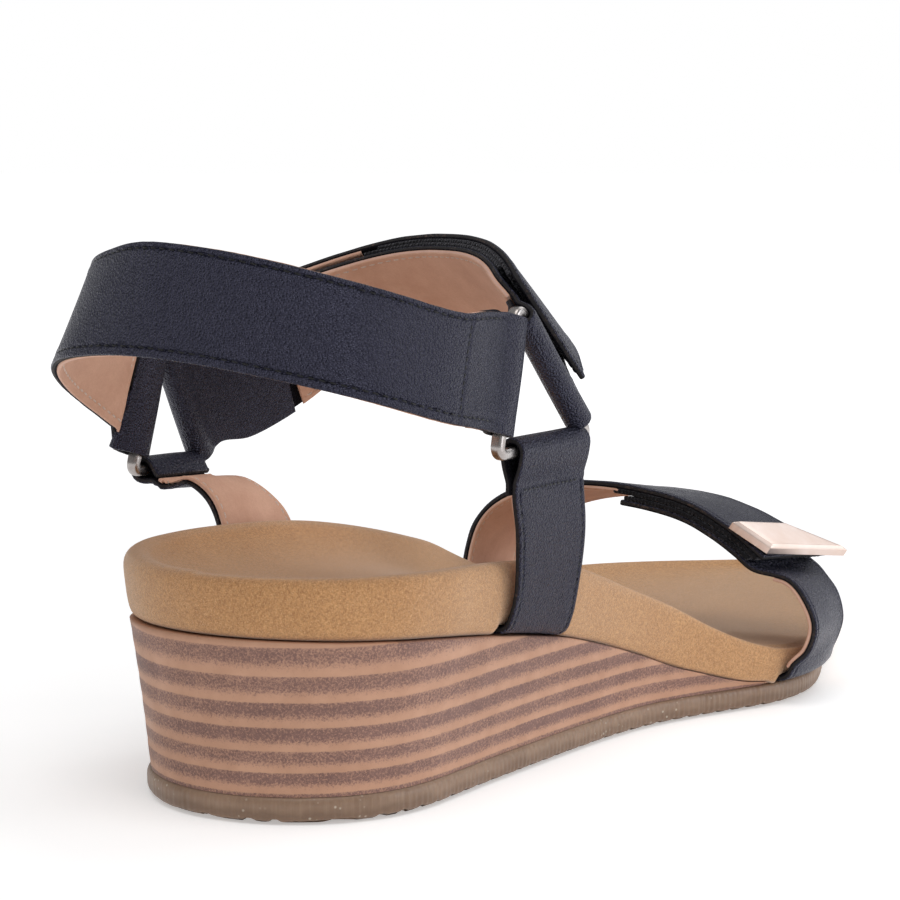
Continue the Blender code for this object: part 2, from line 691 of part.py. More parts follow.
# instep strap: rear edge and front edge of its inner face, lateral to medial
INSTEP = [((49.5, -32.2, 94.4), (70.6, -33.2, 73.8)), ((55.3, -25.3, 98.6), (78.2, -26.5, 79.5)),
          ((62.5, -16, 101.0), (85.2, -16.5, 83.2)), ((68, -5, 101.5), (89.5, -4, 84.8)),
          ((70.5, 6, 100.9), (90.5, 8, 83.7)), ((69.5, 16, 98.9), (88.5, 19, 80.0)),
          ((65, 25, 95.8), (84, 28.5, 73.8)), ((57, 33, 92.2), (75.8, 36.5, 65.4)),
          ((48.5, 38.8, 88.8), (64.5, 43.8, 59.2))]
NI = 4
arch = np.stack([catmull([tuple(lerp(a, b, k / (NI - 1))) for a, b in INSTEP], 120) for k in range(NI)], axis=1)
OUTSIDE = (70, 0, 60)
tab_mid = shifted(arch, -(LINING + GAP + LEATHER / 2), OUTSIDE)
loop_mid = shifted(arch, -(LINING + GAP + LEATHER + GAP + TAPE / 2), OUTSIDE)
hook_mid = shifted(arch, -(LINING + GAP + LEATHER + GAP + TAPE + GAP + TAPE / 2), OUTSIDE)
flap_mid = shifted(arch, -(LINING + GAP + LEATHER + GAP + TAPE + GAP + TAPE + GAP + LEATHER / 2), OUTSIDE)

lat_bar = bar_points(LR_A, LR_C, 0.14, 0.83, NI)
med_bar = bar_points(MR_A, MR_C, 0.17, 0.83, NI)
tab_body_src = cut(tab_mid, 6.0, 78.0, 10)
tb, tl, tk = looped_grid([[tuple(p) for p in tab_body_src[::-1, k]] for k in range(NI)], lat_bar,
                         np.array(LR_C) - np.array(LR_A), (0, 1, -0.3), 2.15, 4.6, 4.0, 34, 3)
LAT_HINGE = tuple(lerp(LR_A, LR_C, 0.5))
MED_HINGE = tuple(lerp(MR_A, MR_C, 0.5))
ribbon("instep_tab", np.concatenate([tb, tl, tk]), LEATHER, "leather", LAT_HINGE)
ribbon("instep_tab_lining", cut(shifted(tb, LINING_IN, OUTSIDE), 0.6, -5.2, 26), LINING, "lining", LAT_HINGE)
ribbon("instep_loop_tape", cut(loop_mid, 10.0, 64.0, 18)[:, :], TAPE, "tape", LAT_HINGE)

flap_src = cut(flap_mid, 3.0, -3.0, 14)
fb, fl, ft = looped_grid([[tuple(p) for p in flap_src[:, k]] for k in range(NI)], med_bar,
                         np.array(MR_C) - np.array(MR_A), (0, -1, -0.3), 2.15, 4.6, 22.0, 44, 8)
ribbon("instep_flap", np.concatenate([fb, fl, ft]), LEATHER, "leather", MED_HINGE)
ribbon("instep_hook_tape", cut(hook_mid, 4.0, 62.0, 20), TAPE, "tape", MED_HINGE)
ribbon("instep_flap_lining", cut(shifted(fb, LINING_IN, OUTSIDE), 61.0, -24.5, 10), LINING, "lining", MED_HINGE)

# toe strap, outer layer: rear edge and front edge of the leather's middle surface, medial to lateral
TOE_FLAP = [((146.2, 42.2, 28.2), (172.4, 46.2, 25.4)),
            ((145.6, 39.2, 35.0), (173.3, 40.6, 32.6)), ((144.6, 34, 40.0), (174.3, 31.5, 37.0)),
            ((144.5, 27, 43.6), (175.5, 22.5, 39.9)), ((146, 17, 45.8), (176.5, 12, 41.5)),
            ((147.5, 7, 46.3), (177, 2, 41.9)), ((148.3, -5, 45.4), (177.3, -9, 41)),
            ((148.5, -17, 43), (177.3, -18.5, 38.6)), ((148.5, -26, 38.9), (177.1, -26.5, 35.5)),
            ((149.0, -31, 35.5), (176.9, -32.5, 32.9)), ((149.6, -35.4, 32.1), (176.6, -37.6, 30.0))]
NT = 4
flap_t = np.stack([catmull([tuple(lerp(a, b, k / (NT - 1))) for a, b in TOE_FLAP], 120) for k in range(NT)], axis=1)
UNDER = (160, 0, 10)
TOE_HINGE = (159.3, 44.0, 26.5)
ribbon("toe_flap", cut(flap_t, 0.45, -0.3, 34), LEATHER, "leather", TOE_HINGE)
tape_in = LEATHER / 2 + GAP + TAPE / 2
tab_in = LEATHER / 2 + GAP + TAPE + GAP + TAPE + GAP + LEATHER / 2
hook_t = shifted(flap_t, tape_in, UNDER)
loop_t = shifted(flap_t, tape_in + TAPE + GAP, UNDER)
tab_t = shifted(flap_t, tab_in, UNDER)
ribbon("toe_hook_tape", cut(hook_t, 47.0, -1.5, 18), TAPE, "tape", TOE_HINGE)
ribbon("toe_flap_lining", cut(hook_t, 1.2, 46.4, 16), LINING, "lining", TOE_HINGE)

# medial root of the toe strap: from under the footbed up to the flex line
root_cols, tab_cols = [], []
for k in range(NT):
    f = k / (NT - 1)
    x = MED_TOE[0] + (MED_TOE[1] - MED_TOE[0]) * f
    zs = seat(x)
    top = lerp(*TOE_FLAP[0], f)
    nxt = lerp(*TOE_FLAP[1], f)
    col = []
    for d, z in ((-4.4, zs + GAP + LEATHER / 2), (-0.3, zs + GAP + LEATHER / 2), (2.3, zs + 1.7),
                 (3.6, zs + 5.0), (3.9, rim_med(x) - 2.5)):
        px, py = edge_point(x, 1, d)
        col.append((px, py, z))
    down = unit(top - nxt)
    col.append(tuple(top + down * 0.95))
    root_cols.append(col)
    x = LAT_TOE[0] + (LAT_TOE[1] - LAT_TOE[0]) * f
    zs = seat(x)
    col = []
    for d, z in ((-4.4, zs + GAP + LEATHER / 2), (-0.3, zs + GAP + LEATHER / 2), (2.3 - 0.3 * f, zs + 1.7),
                 (4.1 - 0.9 * f, zs + 4.3)):
        px, py = edge_point(x, -1, d)
        col.append((px, py, z))
    rear = [(151.2, -45.6, 12.0), (152.0, -46.9, 17.5), (151.4, -45.2, 23.0), (150.6, -41.2, 27.8)]
    front = [(174.6, -40.6, 12.2), (175.2, -41.9, 16.5), (175.6, -40.4, 21.6), (176.2, -37.4, 24.9)]
    for a, b in zip(rear, front):
        col.append(tuple(lerp(a, b, f)))
    up = cut(tab_t, 46.5, -1.0, 7)[:, k][::-1]
    col += [tuple(p) for p in up]
    tab_cols.append(col)
root = grid_from(root_cols, 20)
ribbon("toe_flap_root", root, LEATHER, "leather")
ribbon("toe_flap_root_lining", cut(shifted(root, LINING_IN, (160, 0, 20)), 9.4, -0.2, 6), LINING, "lining")
tab = grid_from(tab_cols, 46)
ribbon("toe_tab", tab, LEATHER, "leather")
ribbon("toe_tab_lining", cut(shifted(tab, LINING_IN, (160, 0, 12)), 8.6, -38.0, 24), LINING, "lining")
ribbon("toe_loop_tape", cut(loop_t, 48.5, -3.0, 16), TAPE, "tape")

# metal plate across the end of the toe flap: corners of its upper face
PLATE = ((146.8, -29.5, 40.9), (165.0, -32.2, 38.6), (150.0, -37.3, 35.4), (177.5, -42.5, 32.0))
PN = unit(np.cross(np.subtract(PLATE[3], PLATE[0]), np.subtract(PLATE[2], PLATE[0])))
PN = PN if PN[2] > 0 else -PN
plate_mid = np.array([[lerp(lerp(PLATE[0], PLATE[2], r), lerp(PLATE[1], PLATE[3], r), c) - PN * PLATE_THICK / 2
                       for c in np.linspace(0, 1, 7)] for r in np.linspace(0, 1, 5)])
ribbon("ornament_plate", plate_mid, PLATE_THICK, "gold", TOE_HINGE)
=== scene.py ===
import bpy
import bmesh
import math
import numpy as np
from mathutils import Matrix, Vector

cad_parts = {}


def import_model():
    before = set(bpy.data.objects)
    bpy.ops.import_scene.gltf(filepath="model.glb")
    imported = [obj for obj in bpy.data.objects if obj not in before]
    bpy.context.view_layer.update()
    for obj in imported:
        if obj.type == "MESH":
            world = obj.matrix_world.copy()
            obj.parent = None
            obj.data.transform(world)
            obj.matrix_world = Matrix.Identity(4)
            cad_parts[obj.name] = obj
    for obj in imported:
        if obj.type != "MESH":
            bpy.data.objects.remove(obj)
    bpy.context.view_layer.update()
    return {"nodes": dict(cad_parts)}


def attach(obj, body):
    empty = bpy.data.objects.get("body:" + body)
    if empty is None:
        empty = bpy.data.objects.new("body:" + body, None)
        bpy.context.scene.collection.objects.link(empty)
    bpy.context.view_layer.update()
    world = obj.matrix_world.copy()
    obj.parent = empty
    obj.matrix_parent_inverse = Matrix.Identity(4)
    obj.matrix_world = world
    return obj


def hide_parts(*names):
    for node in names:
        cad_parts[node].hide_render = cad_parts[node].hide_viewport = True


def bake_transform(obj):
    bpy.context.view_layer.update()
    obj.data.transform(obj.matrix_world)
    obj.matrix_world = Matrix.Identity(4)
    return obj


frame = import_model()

rng = np.random.default_rng(7)
MM = 0.001
OX, OY = 116.33, 1.32           # object's origin in the shoe frame (mm)
SOLE_LENGTH = 248.0
OUTSOLE_THICK = 4.8
TOE_SPRING = 2.0
TOE_SPRING_START = 190.0
WEDGE_FRONT = 140.0
GAP = 0.3
LEATHER = 1.2
LINING = 0.8
TAPE = 0.8
SEAM = 0.75
PLATE_THICK = 2.6
LAT_SIDE = (51.5, 74.2)
MED_SIDE = (46.5, 69.0)
LAT_TOE = (150.0, 175.0)
MED_TOE = (146.0, 172.5)
LR_A, LR_B, LR_C = (47.6, -37.0, 93.2), (41.0, -37.3, 65.5), (73.2, -37.0, 66.0)
MR_A, MR_B, MR_C = (38.5, 43.3, 85.8), (30.0, 43.2, 58.2), (57.5, 48.2, 56.8)


# ============================================================ curve helpers
def unit(v):
    v = np.array(v, float)
    return v / np.linalg.norm(v)


def lerp(a, b, t):
    return np.array(a, float) * (1 - t) + np.array(b, float) * t


def resample(q, n):
    d = np.r_[0, np.cumsum(np.linalg.norm(np.diff(q, axis=0), axis=1))]
    s = np.linspace(0, d[-1], n)
    return np.stack([np.interp(s, d, q[:, k]) for k in range(q.shape[1])], axis=1)


def catmull_raw(points, per=16):
    p = np.array(points, float)
    keep = [0] + [i for i in range(1, len(p)) if np.linalg.norm(p[i] - p[i - 1]) > 1e-6]
    p = p[keep]
    p = np.vstack([2 * p[0] - p[1], p, 2 * p[-1] - p[-2]])
    out = []
    tt = np.linspace(0, 1, per, endpoint=False)[:, None]
    for i in range(1, len(p) - 2):
        p0, p1, p2, p3 = p[i - 1], p[i], p[i + 1], p[i + 2]
        a = max(np.linalg.norm(p1 - p0), 1e-6) ** 0.5
        b = max(np.linalg.norm(p2 - p1), 1e-6) ** 0.5
        c = max(np.linalg.norm(p3 - p2), 1e-6) ** 0.5
        m1 = ((p1 - p0) / a - (p2 - p0) / (a + b) + (p2 - p1) / b) * b
        m2 = ((p2 - p1) / b - (p3 - p1) / (b + c) + (p3 - p2) / c) * b
        out.append((2 * tt ** 3 - 3 * tt ** 2 + 1) * p1 + (tt ** 3 - 2 * tt ** 2 + tt) * m1
                   + (-2 * tt ** 3 + 3 * tt ** 2) * p2 + (tt ** 3 - tt ** 2) * m2)
    out.append(p[-2][None])
    return np.concatenate(out)


def catmull(points, n, per=16):
    return resample(catmull_raw(points, per), n)


def profile(table):
    c = catmull(np.array(table, float), 400)

    def f(x):
        return np.interp(x, c[:, 0], c[:, 1])
    return f


def smoothstep(a, b, x):
    t = np.clip((np.asarray(x, float) - a) / (b - a), 0, 1)
    return t * t * (3 - 2 * t)


# ============================================================ sole outline
LATERAL = [(0, 0), (2.5, -12), (10, -22.5), (20, -28.4), (30, -30), (41, -29.6), (56, -28.6),
           (71, -28), (87, -27.4), (102, -27.4), (117, -29), (128, -32), (139, -35.8),
           (150, -39.2), (160, -39.7), (170, -38.0), (180, -34.3), (190, -29.8), (205, -22.7),
           (220, -15.2), (234, -8), (244, 1.2), (248, 9)]
MEDIAL = [(0, 0), (2.5, 12), (10, 22.5), (20, 28.4), (30, 30), (45, 29.5), (60, 28), (80, 26.5),
          (100, 27.5), (120, 31.5), (140, 37), (155, 40.5), (170, 42.6), (185, 43.1), (200, 41.4),
          (215, 37.8), (230, 31), (240, 23.5), (246, 16), (248, 9)]


def half_curve(table):
    first = (table[1][0], -table[1][1])
    last = (table[-2][0], 2 * table[-1][1] - table[-2][1])
    c = catmull([first] + list(table) + [last], 3200, 64)
    i0 = int(np.argmin(np.linalg.norm(c - np.array(table[0], float), axis=1)))
    i1 = int(np.argmin(np.linalg.norm(c - np.array(table[-1], float), axis=1)))
    return c[i0:i1 + 1]


def smooth_path(c, w):
    # moving average that keeps the ends
    k = np.hanning(2 * w + 1)
    k /= k.sum()
    q = c.copy()
    for j in range(c.shape[1]):
        pad = np.r_[2 * c[0, j] - c[w:0:-1, j], c[:, j], 2 * c[-1, j] - c[-2:-w - 2:-1, j]]
        q[:, j] = np.convolve(pad, k, mode="valid")
    q[0], q[-1] = c[0], c[-1]
    return q


LAT_C, MED_C = half_curve(LATERAL), half_curve(MEDIAL)


def offset_half(c, side, d):
    g = np.gradient(c, axis=0)
    n = np.c_[g[:, 1], -g[:, 0]] * side
    n /= np.linalg.norm(n, axis=1)[:, None]
    dist = d(c[:, 0]) * np.ones(len(c)) if callable(d) else np.full(len(c), float(d))
    q = c + n * dist[:, None]
    q[0] = c[0] + np.array([-dist[0], 0])
    q[-1] = c[-1] + np.array([dist[-1], 0])
    run = np.maximum.accumulate(q[:, 0])
    keep = np.r_[True, q[1:, 0] > run[:-1] + 1e-4]
    return q[keep]


def edge_point(x, side, d):
    c = LAT_C if side < 0 else MED_C
    s = 1 if side < 0 else -1
    i = int(np.argmin(np.abs(c[:, 0] - x)))
    i = min(max(i, 4), len(c) - 5)
    g = c[i + 4] - c[i - 4]
    n = np.array([g[1], -g[0]]) * s
    n /= np.linalg.norm(n)
    p = c[i] + n * d
    return p[0], p[1]


def outsole_bottom(x):
    t = np.maximum(0.0, (np.asarray(x, float) - TOE_SPRING_START) / (SOLE_LENGTH - TOE_SPRING_START))
    return TOE_SPRING * np.minimum(t, 1.1) ** 2


def outsole_top(x):
    return OUTSOLE_THICK + outsole_bottom(x)


_wedge = profile([(-6, 34.5), (8, 33.7), (20, 32.9), (31, 31.9), (53, 29.0), (76, 25.2), (91, 21.5),
                  (107, 16.7), (120, 12.0), (127, 9.9), (134, 7.8), (140, 6.3), (147, 5.4)])


def seat(x):
    x = np.asarray(x, float)
    return np.where(x < 147, np.maximum(_wedge(x), outsole_top(x)), outsole_top(x))


rim_lat = profile([(-6, 45.8), (6, 45.5), (19, 45.3), (29, 44.9), (43, 44.2), (58, 42.9), (72, 40.8),
                   (85, 37.7), (104, 31.0), (118, 25.6), (130, 19.6), (140, 15.3), (150, 12.6),
                   (165, 11.6), (185, 11.8), (210, 12.8), (235, 14.2), (254, 15.2)])
rim_med = profile([(-6, 45.8), (6, 46.3), (20, 46.7), (38, 46.8), (55, 46.2), (66, 45.2), (75, 43.8),
                   (87, 41.4), (104, 37.4), (115, 34.6), (127, 30.7), (140, 26.6), (150, 23.6),
                   (165, 20.6), (185, 18.6), (205, 17.3), (222, 16.2), (237, 15.4), (254, 15.2)])
valley = profile([(-6, 45.6), (2, 43.9), (8, 42.0), (17, 40.4), (30, 39.6), (50, 38.2), (70, 35.4), (87, 30.8),
                  (107, 24.6), (126, 17.8), (145, 13.6), (165, 11.6), (190, 10.9), (220, 11.6), (240, 12.9),
                  (254, 14.0)])

NS = 300
STATIONS = SOLE_LENGTH * (0.5 - 0.5 * np.cos(np.linspace(0, math.pi, NS)))
END_ZONE = 36.0


def ring(d, z, x_end=None):
    """(2, n, 3): rows lateral and medial at distance d outward of the outline."""
    top = SOLE_LENGTH if x_end is None else x_end
    st = STATIONS if x_end is None else np.r_[STATIONS[STATIONS < top - 0.3], top]
    rows = []
    for side, c in ((-1, LAT_C), (1, MED_C)):
        q = offset_half(c, 1 if side < 0 else -1, d)
        x = st.copy()
        m = st < END_ZONE
        x[m] = q[0, 0] + st[m] * (END_ZONE - q[0, 0]) / END_ZONE
        if x_end is None:
            m = st > SOLE_LENGTH - END_ZONE
            x[m] = q[-1, 0] - (SOLE_LENGTH - st[m]) * (q[-1, 0] - SOLE_LENGTH + END_ZONE) / END_ZONE
        y = np.interp(x, q[:, 0], q[:, 1])
        rows.append(np.c_[x, y, z(x, side) * np.ones(len(x))])
    r = np.stack(rows)
    for k in ((0, -1) if x_end is None else (0,)):
        r[:, k] = r[:, k].mean(axis=0)
    return r


def dense_rings(rings, per, raw=False):
    """Smooth surface through the control rings: (k, 2, n, 3)."""
    R = np.stack(rings)
    K = R.shape[0]
    out = []
    Rp = np.concatenate([2 * R[:1] - R[1:2], R, 2 * R[-1:] - R[-2:-1]])
    for i in range(1, K):
        p0, p1, p2, p3 = Rp[i - 1], Rp[i], Rp[i + 1], Rp[i + 2]
        ln = [np.maximum(np.linalg.norm(b - a, axis=-1, keepdims=True), 1e-4) ** 0.5
              for a, b in ((p0, p1), (p1, p2), (p2, p3))]
        a, b, c = ln
        m1 = ((p1 - p0) / a - (p2 - p0) / (a + b) + (p2 - p1) / b) * b
        m2 = ((p2 - p1) / b - (p3 - p1) / (b + c) + (p3 - p2) / c) * b
        for t in np.linspace(0, 1, per, endpoint=False):
            out.append((2 * t ** 3 - 3 * t ** 2 + 1) * p1 + (t ** 3 - 2 * t ** 2 + t) * m1
                       + (-2 * t ** 3 + 3 * t ** 2) * p2 + (t ** 3 - t ** 2) * m2)
    out.append(R[-1])
    return np.stack(out)


# ============================================================ mesh helpers
def world(p):
    p = np.asarray(p, float)
    return (p - np.array([OX, OY, 0.0])) * MM


def mesh_object(name, verts, faces, mats, mat_index=None, smooth=True, sharp=None):
    me = bpy.data.meshes.new(name)
    me.from_pydata([tuple(v) for v in verts], [], [tuple(f) for f in faces])
    if mat_index is not None:
        me.polygons.foreach_set("material_index", np.array(mat_index, np.int32))
    if smooth:
        me.shade_smooth()
    if sharp is not None:
        me.set_sharp_from_angle(angle=math.radians(sharp))
    me.update()
    ob = bpy.data.objects.new(name, me)
    bpy.context.scene.collection.objects.link(ob)
    for m in mats:
        me.materials.append(m)
    return ob


def weld(ob, dist=1e-6, recalc=True):
    bm = bmesh.new()
    bm.from_mesh(ob.data)
    bmesh.ops.remove_doubles(bm, verts=bm.verts, dist=dist)
    if recalc:
        bmesh.ops.recalc_face_normals(bm, faces=bm.faces)
    bm.to_mesh(ob.data)
    bm.free()
    return ob


class Build:
    def __init__(self):
        self.v, self.f, self.m, self.n = [], [], [], 0

    def grid(self, P, mat=0, closed_u=False, flip=False):
        """P (r, c, 3) in shoe mm."""
        r, c = P.shape[:2]
        base = self.n
        self.v.append(world(P.reshape(-1, 3)))
        self.n += r * c
        for i in range(r - 1 + (1 if closed_u else 0)):
            i2 = (i + 1) % r
            for j in range(c - 1):
                q = (base + i * c + j, base + i * c + j + 1, base + i2 * c + j + 1, base + i2 * c + j)
                self.f.append(q[::-1] if flip else q)
                self.m.append(mat if not callable(mat) else mat(i, j))
        return base

    def fan(self, idx, mat=0):
        self.f.append(tuple(idx))
        self.m.append(mat)

    def make(self, name, mats, dist=1e-6, sharp=None):
        ob = mesh_object(name, np.concatenate(self.v), self.f, mats, self.m, True, None)
        weld(ob, dist)
        if sharp is not None:
            ob.data.set_sharp_from_angle(angle=math.radians(sharp))
        return ob


# ============================================================ materials
def lin(c):
    c = c / 255.0
    return c / 12.92 if c <= 0.04045 else ((c + 0.055) / 1.055) ** 2.4


def rgb(r, g, b):
    return (lin(r), lin(g), lin(b), 1.0)


class Mat:
    def __init__(self, name):
        self.m = bpy.data.materials.new(name)
        self.m.use_nodes = True
        self.nt = self.m.node_tree
        self.b = self.nt.nodes["Principled BSDF"]
        self.tc = self.nt.nodes.new("ShaderNodeTexCoord")
        self.coord = self.tc.outputs["Object"]

    def node(self, kind, **kw):
        n = self.nt.nodes.new(kind)
        for k, v in kw.items():
            setattr(n, k, v)
        return n

    def link(self, a, b):
        self.nt.links.new(a, b)

    def put(self, socket, value):
        if isinstance(value, bpy.types.NodeSocket):
            self.link(value, socket)
        else:
            socket.default_value = value

    def scaled(self, sx, sy, sz, loc=(0, 0, 0)):
        n = self.node("ShaderNodeMapping")
        self.link(self.coord, n.inputs["Vector"])
        n.inputs["Scale"].default_value = (sx, sy, sz)
        n.inputs["Location"].default_value = loc
        return n.outputs["Vector"]

    def noise(self, scale, detail=3.0, rough=0.55, vec=None, distortion=0.0):
        n = self.node("ShaderNodeTexNoise")
        self.link(vec or self.coord, n.inputs["Vector"])
        n.inputs["Scale"].default_value = scale
        n.inputs["Detail"].default_value = detail
        n.inputs["Roughness"].default_value = rough
        n.inputs["Distortion"].default_value = distortion
        return n.outputs["Fac"]

    def voronoi(self, scale, feature="F1", vec=None, rand=1.0, out="Distance"):
        n = self.node("ShaderNodeTexVoronoi", feature=feature)
        self.link(vec or self.coord, n.inputs["Vector"])
        n.inputs["Scale"].default_value = scale
        n.inputs["Randomness"].default_value = rand
        return n.outputs[out]

    def ramp(self, fac, stops, interp="LINEAR"):
        n = self.node("ShaderNodeValToRGB")
        n.color_ramp.interpolation = interp
        el = n.color_ramp.elements
        while len(el) < len(stops):
            el.new(0.5)
        for e, (p, c) in zip(el, stops):
            e.position = p
            e.color = c if len(c) == 4 else (*c, 1)
        self.link(fac, n.inputs["Fac"])
        return n.outputs["Color"]

    def math(self, op, a, b=None, clamp=False):
        n = self.node("ShaderNodeMath", operation=op, use_clamp=clamp)
        self.put(n.inputs[0], a)
        if b is not None:
            self.put(n.inputs[1], b)
        return n.outputs[0]

    def mapr(self, v, a, b, c, d):
        n = self.node("ShaderNodeMapRange")
        self.link(v, n.inputs["Value"])
        for k, x in zip(("From Min", "From Max", "To Min", "To Max"), (a, b, c, d)):
            n.inputs[k].default_value = x
        return n.outputs["Result"]

    def mix(self, fac, a, b, blend="MIX"):
        n = self.node("ShaderNodeMix", data_type="RGBA", blend_type=blend)
        self.put(n.inputs["Factor"], fac)
        self.put(n.inputs["A"], a)
        self.put(n.inputs["B"], b)
        return n.outputs["Result"]

    def bump(self, height, dist, strength=1.0, normal=None):
        n = self.node("ShaderNodeBump")
        n.inputs["Distance"].default_value = dist
        n.inputs["Strength"].default_value = strength
        self.link(height, n.inputs["Height"])
        if normal is not None:
            self.link(normal, n.inputs["Normal"])
        return n.outputs["Normal"]

    def set(self, **kw):
        names = {"color": "Base Color", "rough": "Roughness", "metal": "Metallic", "normal": "Normal",
                 "sheen": "Sheen Weight", "sheen_rough": "Sheen Roughness", "sheen_tint": "Sheen Tint",
                 "spec": "Specular IOR Level", "coat": "Coat Weight", "coat_rough": "Coat Roughness",
                 "sss": "Subsurface Weight", "sss_radius": "Subsurface Radius", "sss_scale": "Subsurface Scale",
                 "trans": "Transmission Weight", "ior": "IOR", "aniso": "Anisotropic"}
        for k, v in kw.items():
            self.put(self.b.inputs[names[k]], v)
        return self.m


def mat_leather(name="black_leather", base=(9, 9, 15), lit=(19, 19, 31), rough=(0.24, 0.33), grain=1.0):
    M = Mat(name)
    cells = M.voronoi(2350, "F1", rand=1.0)
    fine = M.noise(3600, 4, 0.6)
    crease = M.noise(260, 3, 0.5, distortion=0.8)
    soft = M.noise(38, 3, 0.5)
    n1 = M.bump(soft, 0.0045, 0.42)
    n2 = M.bump(crease, 0.00034, 0.16, n1)
    n3 = M.bump(cells, 0.00050 * grain, 1.0, n2)
    n4 = M.bump(fine, 0.00010 * grain, 0.8, n3)
    tone = M.noise(700, 5, 0.7)
    col = M.mix(M.mapr(tone, 0.3, 0.7, 0.0, 1.0), rgb(*base), rgb(*lit))
    pits = M.mapr(cells, 0.0, 0.65, 0.0, 1.0)
    col = M.mix(M.math("MULTIPLY", pits, 0.35), rgb(*lit), col)
    r = M.mapr(M.noise(900, 4, 0.65), 0.3, 0.7, rough[0], rough[1])
    gloss = M.math("MULTIPLY", M.mapr(cells, 0.12, 0.52, 1.0, 0.52), M.mapr(tone, 0.30, 0.70, 0.90, 1.10), clamp=True)
    M.b.inputs["Specular Tint"].default_value = (0.68, 0.68, 1.0, 1)
    return M.set(color=col, rough=r, normal=n4, spec=gloss if rough[1] < 0.6 else 0.1, sheen=0.03, sheen_rough=0.4, sheen_tint=(0.7, 0.75, 1.0, 1))


def mat_raw_edge():
    # cut edge of the leather: dark dye with tan flecks
    M = Mat("raw_leather_edge")
    fleck = M.noise(1500, 4, 0.75)
    big = M.noise(170, 3, 0.6)
    f = M.math("MULTIPLY", M.mapr(fleck, 0.50, 0.66, 0.0, 1.0), M.mapr(big, 0.44, 0.62, 0.06, 1.0), clamp=True)
    col = M.mix(M.math("MULTIPLY", f, 0.55), rgb(22, 20, 23), rgb(120, 96, 84))
    return M.set(color=col, rough=0.85, normal=M.bump(fleck, 0.0002, 0.8), sheen=0.0)


def mat_lining(name="tan_lining", a=(218, 176, 152), b=(200, 156, 132)):
    M = Mat(name)
    fib = M.noise(2300, 5, 0.7)
    blot = M.noise(120, 4, 0.6)
    pores = M.voronoi(1500, "F1")
    col = M.mix(M.mapr(blot, 0.3, 0.7, 0.0, 1.0), rgb(*b), rgb(*a))
    col = M.mix(M.mapr(fib, 0.35, 0.7, 0.22, 0.0), col, rgb(int(b[0] * .8), int(b[1] * .76), int(b[2] * .74)))
    n1 = M.bump(blot, 0.0005, 0.25)
    n2 = M.bump(fib, 0.00009, 0.6, n1)
    n3 = M.bump(pores, 0.00008, 0.3, n2)
    return M.set(color=col, rough=0.82, normal=n3, sheen=0.12, sheen_rough=0.5, sheen_tint=(1, 0.9, 0.85, 1), spec=0.3)


def mat_suede():
    M = Mat("camel_suede")
    nap = M.noise(1900, 6, 0.75)
    nap2 = M.noise(5200, 3, 0.7)
    brush = M.noise(26, 3, 0.55, distortion=0.6)
    mid = M.noise(240, 4, 0.6)
    col = M.mix(M.mapr(brush, 0.3, 0.7, 0.0, 1.0), rgb(190, 140, 92), rgb(206, 156, 106))
    col = M.mix(M.mapr(mid, 0.35, 0.75, 0.0, 0.35), col, rgb(178, 130, 82))
    col = M.mix(M.mapr(nap, 0.40, 0.60, 0.62, 0.0), col, rgb(134, 88, 52))
    col = M.mix(M.mapr(nap2, 0.50, 0.66, 0.0, 0.50), col, rgb(236, 196, 148))
    n1 = M.bump(mid, 0.0003, 0.25)
    n2 = M.bump(nap, 0.00022, 0.65, n1)
    n3 = M.bump(nap2, 0.00008, 0.6, n2)
    return M.set(color=col, rough=0.95, normal=n3, sheen=0.6, sheen_rough=0.5, sheen_tint=(1.0, 0.92, 0.84, 1), spec=0.15)


